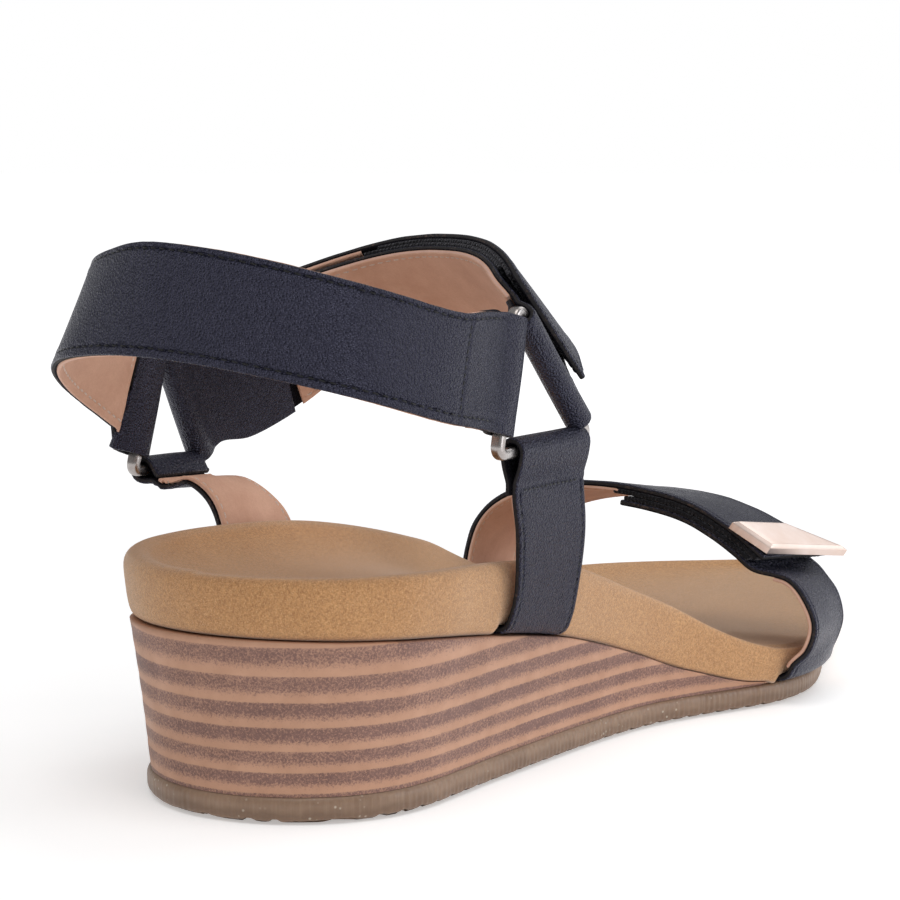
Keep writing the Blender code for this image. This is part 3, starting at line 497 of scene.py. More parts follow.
def mat_wedge():
    M = Mat("stacked_wedge_print")
    sep = M.node("ShaderNodeSeparateXYZ")
    M.link(M.coord, sep.inputs[0])
    wob = M.noise(30, 2, 0.5)
    wob2 = M.noise(420, 3, 0.6)
    z = M.math("ADD", sep.outputs["Z"], M.mapr(wob, 0.0, 1.0, -0.00028, 0.00028))
    z = M.math("ADD", z, M.mapr(wob2, 0.0, 1.0, -0.00012, 0.00012))
    rows = M.ramp(M.math("MULTIPLY", z, 25.0), [(0.0, (0.94,) * 3), (0.207, (0.73,) * 3), (0.3045, (0.63,) * 3), (0.4125, (0.53,) * 3),
                                                (0.5305, (0.43,) * 3), (0.648, (0.33,) * 3), (0.783, (0.23,) * 3), (1.0, (0.072,) * 3)])
    u = M.math("SUBTRACT", M.math("MULTIPLY", rows, 10.0), 2.0)
    fr = M.math("FRACT", M.math("ADD", u, 8.0))
    row = M.math("FLOOR", M.math("ADD", u, 8.0))
    # each band keeps its own strength along the side
    vec = M.node("ShaderNodeCombineXYZ")
    M.link(M.math("MULTIPLY", sep.outputs["X"], 22.0), vec.inputs[0])
    M.link(M.math("MULTIPLY", sep.outputs["Y"], 22.0), vec.inputs[1])
    M.link(M.math("MULTIPLY", row, 7.3), vec.inputs[2])
    own = M.noise(1.0, 3, 0.6, vec=vec.outputs[0])
    fade = M.ramp(fr, [(0.0, (0.52, 0.52, 0.52)), (0.07, (0.72, 0.72, 0.72)), (0.24, (0.78, 0.78, 0.78)),
                       (0.44, (0.74, 0.74, 0.74)), (0.60, (0.50, 0.50, 0.50)), (0.74, (0.24, 0.24, 0.24)),
                       (0.86, (0.12, 0.12, 0.12)), (0.96, (0.10, 0.10, 0.10)), (1.0, (0.34, 0.34, 0.34))])
    dens = M.math("MULTIPLY", fade, M.mapr(own, 0.25, 0.75, 0.72, 1.15))
    sp = M.noise(2300, 4, 0.85)
    sp = M.mapr(sp, 0.30, 0.70, 0.0, 1.0)
    gate = M.math("SUBTRACT", dens, sp)
    speck = M.mapr(gate, -0.16, 0.30, 0.0, 1.0)
    speck = M.math("MULTIPLY", speck, M.mapr(dens, 0.0, 0.25, 0.0, 1.0), clamp=True)
    soft = M.noise(160, 4, 0.6)
    tan = M.mix(M.mapr(soft, 0.3, 0.7, 0.0, 1.0), rgb(200, 154, 126), rgb(186, 141, 114))
    dark = M.mix(M.mapr(soft, 0.3, 0.7, 0.0, 1.0), rgb(116, 84, 80), rgb(102, 74, 72))
    wash = M.mix(M.math("MULTIPLY", dens, 0.50, clamp=True), tan, rgb(158, 122, 108))
    col = M.mix(M.math("MULTIPLY", speck, 0.86, clamp=True), wash, dark)
    line = M.ramp(fr, [(0.0, (1, 1, 1)), (0.045, (0.9, 0.9, 0.9)), (0.085, (0, 0, 0)), (1.0, (0, 0, 0))])
    col = M.mix(M.math("MULTIPLY", line, 0.10), col, rgb(100, 74, 72))
    n1 = M.bump(speck, 0.00006, 0.4)
    n2 = M.bump(M.noise(3000, 3, 0.6), 0.00005, 0.4, n1)
    return M.set(color=col, rough=M.mapr(soft, 0.3, 0.7, 0.50, 0.62), normal=n2, spec=0.4)


def mat_outsole():
    M = Mat("gum_rubber")
    cloud = M.noise(70, 4, 0.6)
    v = M.scaled(1600, 1600, 60)
    streak = M.noise(1.0, 3, 0.6, vec=v)
    col = M.mix(M.mapr(cloud, 0.3, 0.7, 0.0, 1.0), rgb(150, 122, 100), rgb(128, 102, 82))
    col = M.mix(M.mapr(streak, 0.45, 0.75, 0.0, 0.28), col, rgb(174, 150, 126))
    sep = M.node("ShaderNodeSeparateXYZ")
    M.link(M.coord, sep.inputs[0])
    # painted shade: the outsole side is darkened over its lowest 2-3 mm, with a noisy ragged boundary, standing in for
    # shade where the rubber meets the floor
    rim = M.math("ADD", sep.outputs["Z"], M.mapr(M.noise(170, 3, 0.6), 0.3, 0.7, -0.0007, 0.0007))
    low = M.mapr(rim, 0.0018, 0.0030, 1.0, 0.0)
    col = M.mix(M.math("MULTIPLY", low, 0.55), col, rgb(108, 82, 62))
    glue = M.voronoi(620, "F1")
    spot = M.mapr(glue, 0.08, 0.20, 1.0, 0.0)
    pick = M.mapr(M.noise(110, 2, 0.5), 0.48, 0.58, 0.0, 1.0)
    col = M.mix(M.math("MULTIPLY", M.math("MULTIPLY", spot, pick), 0.55), col, rgb(214, 206, 190))
    n1 = M.bump(streak, 0.00012, 0.5)
    n2 = M.bump(M.noise(1500, 4, 0.6), 0.00008, 0.5, n1)
    return M.set(color=col, rough=0.42, normal=n2, spec=0.5, sss=0.25, sss_radius=(1.0, 0.7, 0.4), sss_scale=0.0022)


def mat_tape(name="hook_loop_tape", base=(12, 12, 15)):
    M = Mat(name)
    hooks = M.voronoi(1150, "F1", rand=0.35)
    fuzz = M.noise(3600, 5, 0.8)
    col = M.mix(M.mapr(fuzz, 0.4, 0.75, 0.0, 0.6), rgb(*base), rgb(44, 44, 50))
    n1 = M.bump(hooks, 0.0005, 1.0)
    n2 = M.bump(fuzz, 0.0002, 1.0, n1)
    return M.set(color=col, rough=0.9, normal=n2, sheen=0.3, sheen_rough=0.35, sheen_tint=(0.8, 0.8, 0.9, 1), spec=0.2)


def mat_nickel():
    M = Mat("nickel_wire")
    sc = M.noise(2400, 4, 0.7)
    tone = M.noise(300, 3, 0.6)
    col = M.mix(M.mapr(tone, 0.3, 0.7, 0.0, 1.0), rgb(190, 186, 184), rgb(158, 150, 146))
    return M.set(color=col, metal=1.0, rough=M.mapr(sc, 0.3, 0.7, 0.20, 0.34), normal=M.bump(sc, 0.00003, 0.5))


def mat_gold():
    M = Mat("champagne_plate")
    v = M.scaled(60, 2600, 2600)
    br = M.noise(1.0, 3, 0.6, vec=v)
    haze = M.noise(120, 4, 0.6)
    col = M.mix(M.mapr(haze, 0.3, 0.7, 0.0, 1.0), rgb(233, 216, 208), rgb(224, 202, 190))
    return M.set(color=col, metal=1.0, rough=M.mapr(haze, 0.3, 0.7, 0.34, 0.42), normal=M.bump(br, 0.00002, 0.35))


def mat_thread(name, c):
    M = Mat(name)
    t = M.noise(3200, 3, 0.6)
    v = M.scaled(1, 1, 1)
    w = M.node("ShaderNodeTexWave", wave_type="BANDS", bands_direction="DIAGONAL")
    M.link(v, w.inputs["Vector"])
    w.inputs["Scale"].default_value = 900
    w.inputs["Distortion"].default_value = 1.0
    col = M.mix(M.mapr(t, 0.3, 0.7, 0.0, 1.0), rgb(*c), rgb(*[int(x * 0.78) for x in c]))
    return M.set(color=col, rough=0.6, normal=M.bump(w.outputs["Fac"], 0.00008, 0.5), sheen=0.2, spec=0.35)


def mat_core():
    M = Mat("footbed_foam")
    c = M.voronoi(600)
    col = M.mix(M.mapr(c, 0, 0.6, 0, 1), rgb(176, 138, 96), rgb(204, 170, 128))
    return M.set(color=col, rough=0.95, normal=M.bump(c, 0.0002, 0.6))


def mat_board():
    M = Mat("fibre_board")
    c = M.noise(900, 5, 0.7)
    col = M.mix(M.mapr(c, 0.3, 0.7, 0, 1), rgb(160, 132, 98), rgb(132, 106, 76))
    return M.set(color=col, rough=0.9, normal=M.bump(c, 0.0001, 0.5))


LEATHER_M = mat_leather()
FLESH_M = mat_leather("leather_back", (12, 11, 13), (19, 17, 19), (0.75, 0.9), 0.6)
EDGE_M = mat_raw_edge()
LINING_M = mat_lining()
LINING_EDGE_M = mat_lining("lining_cut_edge", (216, 180, 166), (200, 160, 146))
SUEDE_M = mat_suede()
WEDGE_M = mat_wedge()
OUTSOLE_M = mat_outsole()
TAPE_M = mat_tape()
NICKEL_M = mat_nickel()
GOLD_M = mat_gold()
THREAD_M = mat_thread("black_thread", (6, 6, 9))
THREAD_W_M = mat_thread("pale_thread", (224, 204, 190))
CORE_M, BOARD_M = mat_core(), mat_board()


# ============================================================ sole
def loop_of(r, closed_front=False):
    if closed_front:        # blunt front: both end points stay
        return np.concatenate([r[0], r[1][::-1][:-1]])
    return np.concatenate([r[0], r[1][-2:0:-1]])


def respaced(loops, n):
    """Same even spacing, measured on the first loop, for every loop (k, L, 3)."""
    b = np.vstack([loops[0], loops[0][:1]])
    d = np.r_[0, np.cumsum(np.linalg.norm(np.diff(b, axis=0), axis=1))]
    s = np.linspace(0, d[-1], n, endpoint=False)
    out = []
    for q in loops:
        c = np.vstack([q, q[:1]])
        out.append(np.stack([np.interp(s, d, c[:, k]) for k in range(3)], axis=1))
    return np.stack(out), s, d[-1]


def cap_grid(r, m, zf=None, power=1.0):
    f = np.linspace(0, 1, m + 1)[None, :, None]
    P = r[0][:, None, :] * (1 - f) + r[1][:, None, :] * f
    if zf is not None:
        za, zb = r[0][:, 2][:, None], r[1][:, 2][:, None]
        z = zf(P[:, :, 0], f[:, :, 0], za, zb)
        P[:, 1:-1, 2] = z[:, 1:-1]
    return P


def hash_noise(s, seed, pitch):
    """smooth 1-D noise along s, in 0..1"""
    g = np.random.default_rng(seed).random(4096)
    q = np.asarray(s, float) / pitch
    i = np.floor(q).astype(int)
    t = q - i
    t = t * t * (3 - 2 * t)
    return g[i % 4096] * (1 - t) + g[(i + 1) % 4096] * t


def tread(x, y):
    """depth of the grooves across the underside (0..1)"""
    ph = (x + 2.6 * np.sin(2 * math.pi * y / 21.0)) / 4.9
    fr = ph - np.floor(ph)
    return smoothstep(0.10, 0.26, fr) * (1 - smoothstep(0.42, 0.58, fr))


def build_outsole():
    z0 = outsole_bottom
    ctrl = [ring(-1.5, lambda x, s: z0(x) + 0.02), ring(-0.7, lambda x, s: z0(x) + 0.25),
            ring(-0.15, lambda x, s: z0(x) + 0.95), ring(0.0, lambda x, s: z0(x) + 2.4),
            ring(-0.05, lambda x, s: z0(x) + 3.9), ring(-0.55, lambda x, s: z0(x) + 4.72),
            ring(-1.3, lambda x, s: z0(x) + 4.8)]
    D = dense_rings(ctrl, 3)
    loops = np.stack([loop_of(r) for r in D])
    W, s, total = respaced(loops, 1760)
    K = len(W)
    base = W[0]
    cen = np.array([120.0, 3.0, 0.0])
    nrm = np.gradient(np.vstack([W[9], W[9][:1]]), axis=0)[:-1]
    nn = np.c_[nrm[:, 1], -nrm[:, 0], np.zeros(len(nrm))]
    nn /= np.linalg.norm(nn, axis=1)[:, None]
    mid = W[9].mean(axis=0)
    if ((W[9] - mid) * nn).sum() < 0:
        nn = -nn
    # saw marks: fine upright ribs, stronger on the flanks than round the heel
    flank = smoothstep(18, 40, W[9][:, 0])
    rib = 0.5 + 0.5 * np.sin(2 * math.pi * (s + 0.35 * hash_noise(s, 3, 2.3)) / 1.5)
    rough = hash_noise(s, 5, 0.8)
    g = tread(base[:, 0], base[:, 1])
    for k in range(K):
        h = k / (K - 1)
        up = 1 - smoothstep(0.0, 0.38, h)            # near the lower edge
        body = smoothstep(0.05, 0.3, h) * (1 - smoothstep(0.8, 1.0, h))
        W[k] += nn * (0.10 * (rib - 0.5) * (0.35 + 0.65 * flank) * (0.4 + body)
                      + 0.10 * (rough - 0.5) + 0.16 * (hash_noise(s, 11, 9.0) - 0.5) * body)[:, None]
        W[k, :, 2] += up * (0.72 * g + 0.55 * flank * rib ** 2 * hash_noise(s, 8, 3.1)
                            + 0.22 * rough + 0.35 * (1 - flank) * hash_noise(s, 21, 4.6) ** 2)
    B = Build()
    B.grid(np.transpose(W, (1, 0, 2)), 0, closed_u=True, flip=False)
    # underside with its grooves
    rb = ring(-1.5, lambda x, s: z0(x) + 0.02)
    P = cap_grid(rb, 120)
    n2 = 620
    d = np.r_[0, np.cumsum(np.abs(np.diff(rb[0][:, 0])) + 0.02)]
    ss = np.linspace(0, d[-1], n2)
    P = np.stack([np.stack([np.interp(ss, d, P[:, j, k]) for k in range(3)], axis=1) for j in range(P.shape[1])], axis=1)
    gg = tread(P[:, :, 0], P[:, :, 1])
    P[:, :, 2] = z0(P[:, :, 0]) + 0.02 + 0.75 * gg
    B.grid(P, 0, flip=True)
    P = cap_grid(ring(-1.3, lambda x, s: z0(x) + 4.8), 6)
    B.grid(P, 0)
    return B.make("outsole_tread", [OUTSOLE_M], 2e-6)


def build_wedge():
    def top_d(x):
        return 2.9 - 2.1 * np.clip((x - 20) / 120.0, 0, 1)
    xe = 146.0
    top = lambda x: np.maximum(_wedge(x), outsole_top(x) + 0.35)
    rings = []
    for k in range(33):
        h = k / 32
        sag = 0.25 * math.sin(math.pi * h)
        rings.append(ring(lambda x, h=h, sag=sag: -0.7 * (1 - h) + top_d(x) * h - sag,
                          lambda x, s, h=h: (outsole_top(x) + 0.02) * (1 - h) + (top(x) - 0.12) * h, xe))
    edge = [ring(lambda x: top_d(x) - 0.35, lambda x, s: top(x) + 0.0, xe),
            ring(lambda x: top_d(x) - 1.2, lambda x, s: top(x) + 0.06, xe)]
    loops = np.stack([loop_of(r, True) for r in rings + edge])
    W, s, total = respaced(loops, 900)
    lump = 0.14 * (hash_noise(s, 31, 14.0) - 0.5)
    nrm = np.gradient(np.vstack([W[16], W[16][:1]]), axis=0)[:-1]
    nn = np.c_[nrm[:, 1], -nrm[:, 0], np.zeros(len(nrm))]
    nn /= np.maximum(np.linalg.norm(nn, axis=1), 1e-9)[:, None]
    if ((W[16] - W[16].mean(axis=0)) * nn).sum() < 0:
        nn = -nn
    for k in range(len(W)):
        # slight step where each printed layer starts
        fr = ((31.04 - W[k, :, 2]) / 4.27) % 1.0
        step = 0.07 * smoothstep(0.0, 0.1, fr) * (1 - smoothstep(0.5, 1.0, fr))
        W[k] += nn * (lump + step)[:, None]
    B = Build()
    B.grid(np.transpose(W, (1, 0, 2)), 0, closed_u=True)
    B.grid(cap_grid(rings[0], 4), 0, flip=True)
    B.grid(cap_grid(edge[-1], 4), 0)
    return B.make("wedge_body", [WEDGE_M], 2e-6)


def notch(x, side):
    """1 where a strap passes under the footbed's edge, else 0."""
    out = np.zeros_like(np.asarray(x, float))
    for s, (a, b) in ((-1, LAT_SIDE), (1, MED_SIDE), (-1, LAT_TOE), (1, MED_TOE)):
        if s == side:
            out = np.maximum(out, smoothstep(a - 1.6, a - 0.4, x) * (1 - smoothstep(b + 0.4, b + 1.6, x)))
    return out


def side_off(base, flare):
    def f(x):
        k = 1.0 - 0.6 * np.clip((x - 70) / 80.0, 0, 1) + 0.16 * np.clip((60 - x) / 40.0, 0, 1)
        v = base + flare
        return v * k if v > 0 else v * np.ones_like(k)
    return f


def bed_top(x, f, za, zb):
    u = 2 * f - 1
    edge = za + (zb - za) * f
    v = valley(x)
    k = np.abs(u)
    lift = np.where(u < 0, 0.62 * k ** 3.2 + 0.38 * k ** 6, 0.70 * k ** 2.3 + 0.30 * k ** 6)
    return v + (np.maximum(edge, v) - v) * lift


def build_cover():
    rim = lambda x, s: (rim_lat(x) if s < 0 else rim_med(x))
    low = lambda x, s: seat(x) + 0.12 + 1.75 * notch(x, s)
    ctrl = [
        ring(-3.0, lambda x, s: low(x, s) + 0.35),
        ring(side_off(-0.6, 0.9), lambda x, s: low(x, s) + 0.05),
        ring(side_off(0.55, 0.9), lambda x, s: low(x, s) + 0.35),
        ring(side_off(1.2, 1.1), lambda x, s: low(x, s) + 1.3),
        ring(side_off(1.5, 1.7), lambda x, s: 0.45 * low(x, s) + 0.55 * rim(x, s)),
        ring(side_off(1.4, 1.9), lambda x, s: np.maximum(rim(x, s) - 1.6, low(x, s) + 1.9)),
        ring(side_off(0.7, 1.8), lambda x, s: rim(x, s) - 0.25),
        ring(side_off(-0.8, 1.6), lambda x, s: rim(x, s)),
        ring(side_off(-2.6, 1.5), lambda x, s: rim(x, s) - 0.7),
    ]
    D = dense_rings(ctrl, 5)
    loops = np.stack([loop_of(r) for r in D])
    B = Build()
    nL = loops.shape[1]
    # soft unevenness of the wrapped side
    for k in range(len(loops)):
        h = k / (len(loops) - 1)
        w = math.sin(math.pi * min(1, h * 1.15)) if h < 0.87 else 0
        x = loops[k, :, 0]
        amp = 0.16 * w * np.sin(x / 9.0 + 2.0 * np.sign(loops[k, :, 1])) * np.sin(x / 23.0 + 1.0)
        loops[k, :, 1] += amp * np.sign(loops[k, :, 1]) * smoothstep(20, 40, x) * (1 - smoothstep(215, 235, x))
    B.grid(np.transpose(loops, (1, 0, 2)), 0, closed_u=True)
    B.grid(cap_grid(D[-1], 72, bed_top), 0)
    return B.make("footbed_suede", [SUEDE_M], 2e-6)


# ============================================================ straps
def across(G, F):
    """Smooth interpolation across the control columns: F (rows, m) in 0..1."""
    rows, nc = G.shape[:2]
    Gp = np.concatenate([2 * G[:, :1] - G[:, 1:2], G, 2 * G[:, -1:] - G[:, -2:-1]], axis=1)
    q = np.clip(F, 0, 1) * (nc - 1)
    i = np.minimum(q.astype(int), nc - 2)
    t = (q - i)[..., None]
    r = np.arange(rows)[:, None]
    p0, p1, p2, p3 = Gp[r, i], Gp[r, i + 1], Gp[r, i + 2], Gp[r, i + 3]
    m1, m2 = (p2 - p0) / 2, (p3 - p1) / 2
    P = ((2 * t ** 3 - 3 * t ** 2 + 1) * p1 + (t ** 3 - 2 * t ** 2 + t) * m1
         + (-2 * t ** 3 + 3 * t ** 2) * p2 + (t ** 3 - t ** 2) * m2)
    return P


def row_pos(G):
    mid = G[:, G.shape[1] // 2]
    return np.r_[0, np.cumsum(np.linalg.norm(np.diff(mid, axis=0), axis=1))]


def cut(g, a, b, n):
    d = row_pos(g)
    lo, hi = a, (b if b > 0 else d[-1] + b)
    s = np.linspace(lo, hi, n)
    return np.stack([np.stack([np.interp(s, d, g[:, j, k]) for k in range(3)], axis=1)
                     for j in range(g.shape[1])], axis=1)


def rows_at(g, s):
    d = row_pos(g)
    return np.stack([np.stack([np.interp(s, d, g[:, j, k]) for k in range(3)], axis=1)
                     for j in range(g.shape[1])], axis=1)


def grid_normals(g, toward):
    ds, dt = np.gradient(g, axis=0), np.gradient(g, axis=1)
    n = np.cross(ds, dt)
    n /= np.maximum(np.linalg.norm(n, axis=2), 1e-9)[:, :, None]
    mid = g.shape[0] // 2, g.shape[1] // 2
    if np.dot(n[mid], np.array(toward, float) - g[mid]) < 0:
        n = -n
    return n


def shifted(g, dist, toward):
    return g + grid_normals(g, toward) * dist


def columns_mm(width, sA, sB, r, step=1.15):
    """Places across the strap (mm from its first edge)."""
    def near(s):
        e = [0, 0.06, 0.18, 0.36]
        if s:
            e += [v for v in (s - 0.42, s - 0.24, s - 0.12, s, s + 0.12, s + 0.24, s + 0.42, s + 0.9) if v > 0.42]
        else:
            e += [0.8]
        return e
    A, Bv = near(sA), near(sB)
    lo, hi = A[-1], width - Bv[-1]
    n = max(2, int(round((hi - lo) / step)))
    mid = list(np.linspace(lo, hi, n + 1))[1:-1]
    return np.array(sorted(A + mid + [width - v for v in Bv]))


def dash(B, p, t, n, length, radius, mat, sink=0.16, sides=6, rings=6):
    """One stitch: a short thread lying on the surface, its ends going in."""
    b = np.cross(t, n)
    base = B.n
    vs = []
    for i in range(rings):
        f = i / (rings - 1)
        u = (f - 0.5) * length
        arch = 1 - (2 * f - 1) ** 4
        r = radius * (0.45 + 0.55 * arch)
        c = p + t * u + n * (arch * sink - sink)
        for k in range(sides):
            a = 2 * math.pi * k / sides
            vs.append(c + (b * math.cos(a) + n * math.sin(a) * 0.85) * r)
    B.v.append(world(np.array(vs)))
    B.n += len(vs)
    for i in range(rings - 1):
        for k in range(sides):
            k2 = (k + 1) % sides
            B.f.append((base + i * sides + k, base + i * sides + k2, base + (i + 1) * sides + k2, base + (i + 1) * sides + k))
            B.m.append(mat)
    B.f.append(tuple(base + k for k in range(sides))[::-1])
    B.m.append(mat)
    B.f.append(tuple(base + (rings - 1) * sides + k for k in range(sides)))
    B.m.append(mat)


def stitch_row(B, path, normals, mat, pitch=1.95, length=1.5, radius=0.21, lift=0.02, tilt=0.13, start=0.8, end=0.8):
    d = np.r_[0, np.cumsum(np.linalg.norm(np.diff(path, axis=0), axis=1))]
    n = int((d[-1] - start - end) / pitch)
    if n < 1:
        return
    first = start + ((d[-1] - start - end) - n * pitch) / 2 + pitch / 2
    for k in range(n):
        s = first + k * pitch
        q = lambda v: np.array([np.interp(v, d, path[:, j]) for j in range(3)])
        p = q(s)
        t = unit(q(s + 0.5) - q(s - 0.5))
        m = unit(np.array([np.interp(s, d, normals[:, j]) for j in range(3)]))
        m = unit(m - t * np.dot(m, t))
        b = np.cross(t, m)
        t2 = unit(t + b * tilt * (1 + 0.4 * (rng.random() - 0.5)))
        dash(B, p + m * lift, t2, m, length * (0.95 + 0.1 * rng.random()), radius, mat)


def strap(name, G, thick, toward, mats, sA=None, sB=None, srange=None, cross=(), stitch_side=1,
          thread=3, r=0.32, waves=0.0, seed=1, rows_per_mm=1.35, relief=1.0, puff=0.0, profile_h=None,
          end_round=True, pitch=1.95):
    """Strip of leather or cloth round the middle surface G, with rounded edges,
    grooves under the seams and the threads themselves.  Material slots: 0 outer
    face, 1 inner face, 2 cut edge, 3 thread."""
    d = row_pos(G)
    n = max(8, int(d[-1] * rows_per_mm))
    ends = [0.0, 0.08, 0.25, 0.5]
    s = np.r_[ends, np.linspace(0.9, d[-1] - 0.9, n), [d[-1] - e for e in ends[::-1]]]
    g = rows_at(G, s)
    w = np.linalg.norm(np.diff(g, axis=1), axis=2).sum(axis=1)
    wm = float(np.median(w))
    u = columns_mm(wm, sA, sB, r)
    F = (u / wm)[None, :] * np.ones((len(s), 1))
    P = across(g, F)
    N = -grid_normals(P, toward)
    a0, a1 = srange if srange else (0.0, d[-1])
    if a1 <= 0:
        a1 += d[-1]
    on = smoothstep(a0 - 0.6, a0 + 0.6, s) * (1 - smoothstep(a1 - 0.6, a1 + 0.6, s))
    h = np.zeros((len(s), len(u)))
    for st, dist in ((sA, u), (sB, wm - u)):
        if st:
            h += on[:, None] * relief * (-0.24 * np.exp(-((dist - st) / 0.22) ** 2)
                                         + 0.06 * np.exp(-((dist - st * 0.5) / (st * 0.35)) ** 2)
                                         + 0.08 * np.exp(-((dist - st - 0.85) / 0.55) ** 2))[None, :]
    for c in cross:
        c = c if c > 0 else d[-1] + c
        h += relief * (-0.22 * np.exp(-((s - c) / 0.26) ** 2) + 0.07 * np.exp(-((np.abs(s - c) - 0.9) / 0.5) ** 2))[:, None]
    if puff:
        h += puff * np.sin(np.pi * u / wm)[None, :] ** 0.7
    if waves:
        gx = hash_noise(s, seed, 13.0)[:, None] - 0.5
        gy = hash_noise(s * 1.3 + 40, seed + 1, 6.0)[:, None] - 0.5
        h += waves * (gx * np.cos(np.pi * (u / wm - 0.3))[None, :] + 0.5 * gy * np.sin(2 * np.pi * u / wm + 1.0)[None, :])
    # rounding at the four edges
    du = np.minimum(u, wm - u)[None, :] * np.ones_like(h)
    dd = np.minimum(s, d[-1] - s)[:, None] * np.ones_like(h) if end_round else np.full_like(h, 9.0)
    near = np.minimum(du, dd)
    rr = min(r, thick * 0.48)
    drop = np.where(near < rr, rr - np.sqrt(np.maximum(rr ** 2 - (rr - near) ** 2, 0)), 0)
    ripple = 0.05 * (hash_noise(s, seed + 7, 0.9)[:, None] - 0.5) * (du < 0.3)
    if profile_h is not None:
        top = profile_h(np.minimum(du, dd))
        bot = -thick / 2 + drop * 0.4
        O = P + N * top[..., None]
        I = P + N * bot[..., None]
    else:
        side_h = h if stitch_side > 0 else 0.3 * h
        O = P + N * (thick / 2 - drop + side_h)[..., None]
        I = P + N * (-thick / 2 + drop - (h if stitch_side < 0 else 0.0) + (side_h * 0.0))[..., None]
    side = unit_rows(P[:, -1] - P[:, 0])
    O[:, 0] -= side * ripple[:, :1]
    I[:, 0] -= side * ripple[:, :1]
    O[:, -1] += side * ripple[:, -1:]
    I[:, -1] += side * ripple[:, -1:]
    B = Build()
    B.grid(O, 0)
    B.grid(I, 1, flip=True)
    for row, fl in ((0, False), (-1, True)):
        B.grid(np.stack([O[row], I[row]]), 2, flip=fl)
    for col, fl in ((0, True), (-1, False)):
        B.grid(np.stack([O[:, col], I[:, col]]), 2, flip=fl)
    S = O if stitch_side > 0 else I
    NN = N if stitch_side > 0 else -N
    m = (s >= a0) & (s <= a1)
    for st, sign in ((sA, 1), (sB, -1)):
        if st:
            j = int(np.argmin(np.abs((u if sign > 0 else wm - u) - st)))
            stitch_row(B, S[m, j], NN[m, j], thread, pitch=pitch)
    for c in cross:
        c = c if c > 0 else d[-1] + c
        i = int(np.argmin(np.abs(s - c)))
        lo = int(np.argmin(np.abs(u - (sA or 1.2))))
        hi = int(np.argmin(np.abs(wm - u - (sB or 1.2))))
        stitch_row(B, S[i, lo:hi + 1], NN[i, lo:hi + 1], thread, pitch=1.45, length=1.1)
    ob = B.make(name, mats, 1e-6)
    ob.data.set_sharp_from_angle(angle=math.radians(48))
    return ob


def unit_rows(v):
    return v / np.maximum(np.linalg.norm(v, axis=1), 1e-9)[:, None]


def loop_columns(cols, centres, bar, inward, radius, lead, tail):
    out = []
    bar = unit(bar)
    for col, c in zip(cols, centres):
        c = np.array(c, float)
        t = c - np.array(col[-1], float)
        t = unit(t - bar * np.dot(t, bar))
        n = unit(np.cross(bar, t))
        if np.dot(n, np.array(inward, float)) < 0:
            n = -n
        e = c - t * lead - n * SEAM
        body = catmull(list(col) + [tuple(e - t * 2.2), tuple(e)], 500, 24)
        pts = [c - t * (lead * 0.45) - n * (SEAM + (radius - SEAM) * 0.72)]
        for a in np.linspace(0, math.pi, 11):
            pts.append(c + t * radius * math.sin(a) - n * radius * math.cos(a))
        pts.append(c - t * (lead * 0.45) + n * (SEAM + (radius - SEAM) * 0.72))
        g = np.gradient(body, axis=0)
        nn = np.cross(bar, g)
        nn /= np.linalg.norm(nn, axis=1)[:, None]
        if np.dot(nn[-1], n) < 0:
            nn = -nn
        d = np.r_[0, np.cumsum(np.linalg.norm(np.diff(body, axis=0), axis=1))]
        back = []
        for s in np.linspace(0, tail, max(4, int(tail / 2) + 2)):
            q = d[-1] - s
            back.append([np.interp(q, d, (body + nn * 2 * SEAM)[:, k]) for k in range(3)])
        back = np.array(back)
        mid = catmull_raw([body[-12], body[-1]] + [tuple(p) for p in pts] + [back[0], back[1]], 10)
        lo, hi = 10, len(mid) - 11
        out.append((body, mid[lo:hi + 1], back))
    return out


def looped_grid(cols, centres, bar, inward, radius, lead, tail, n_body=160, n_tail=24):
    parts = loop_columns(cols, centres, bar, inward, radius, lead, tail)
    body = np.stack([resample(p[0], n_body) for p in parts], axis=1)
    loop = np.stack([resample(p[1], 46) for p in parts], axis=1)
    back = np.stack([catmull(p[2], n_tail) for p in parts], axis=1)
    return body, loop, back


def join(*gs):
    out = [gs[0]]
    for g in gs[1:]:
        out.append(g[1:])
    return np.concatenate(out)


def bar_points(a, b, f0, f1, n):
    return [tuple(lerp(a, b, f0 + (f1 - f0) * k / (n - 1))) for k in range(n)]


IN = LEATHER / 2 + LINING / 2 + 0.04
LM = [LEATHER_M, FLESH_M, EDGE_M, THREAD_M]
NM = [LINING_M, LINING_M, LINING_EDGE_M, THREAD_W_M]
TM = [TAPE_M, TAPE_M, TAPE_M, THREAD_M]


def add(piece, body, slot, *nodes):
    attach(piece, body)
    if nodes:
        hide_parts(*nodes)
    return piece


# ------------------------------------------------------------ sole goes together
add(build_outsole(), "shoe", "outsole", "outsole")
add(build_wedge(), "shoe", "wedge", "wedge")
add(build_cover(), "shoe", "suede", "footbed_cover")
for n, m in (("footbed_core", CORE_M), ("insole_board", BOARD_M)):
    o = frame["nodes"][n]
    o.data.materials.clear()
    o.data.materials.append(m)


def inset(G, a0, a1):
    """The first edge drawn in by a share of the width, a0 at the bottom to a1 at the top."""
    G = np.array(G, dtype=float)
    n = G.shape[1]
    out = G.copy()
    for i in range(len(G)):
        a = a0 + (a1 - a0) * i / (len(G) - 1)
        for k in range(n):
            t = (a + (1 - a) * k / (n - 1)) * (n - 1)
            j = min(int(t), n - 2)
            out[i, k] = G[i, j] * (1 - (t - j)) + G[i, j + 1] * (t - j)
    return out


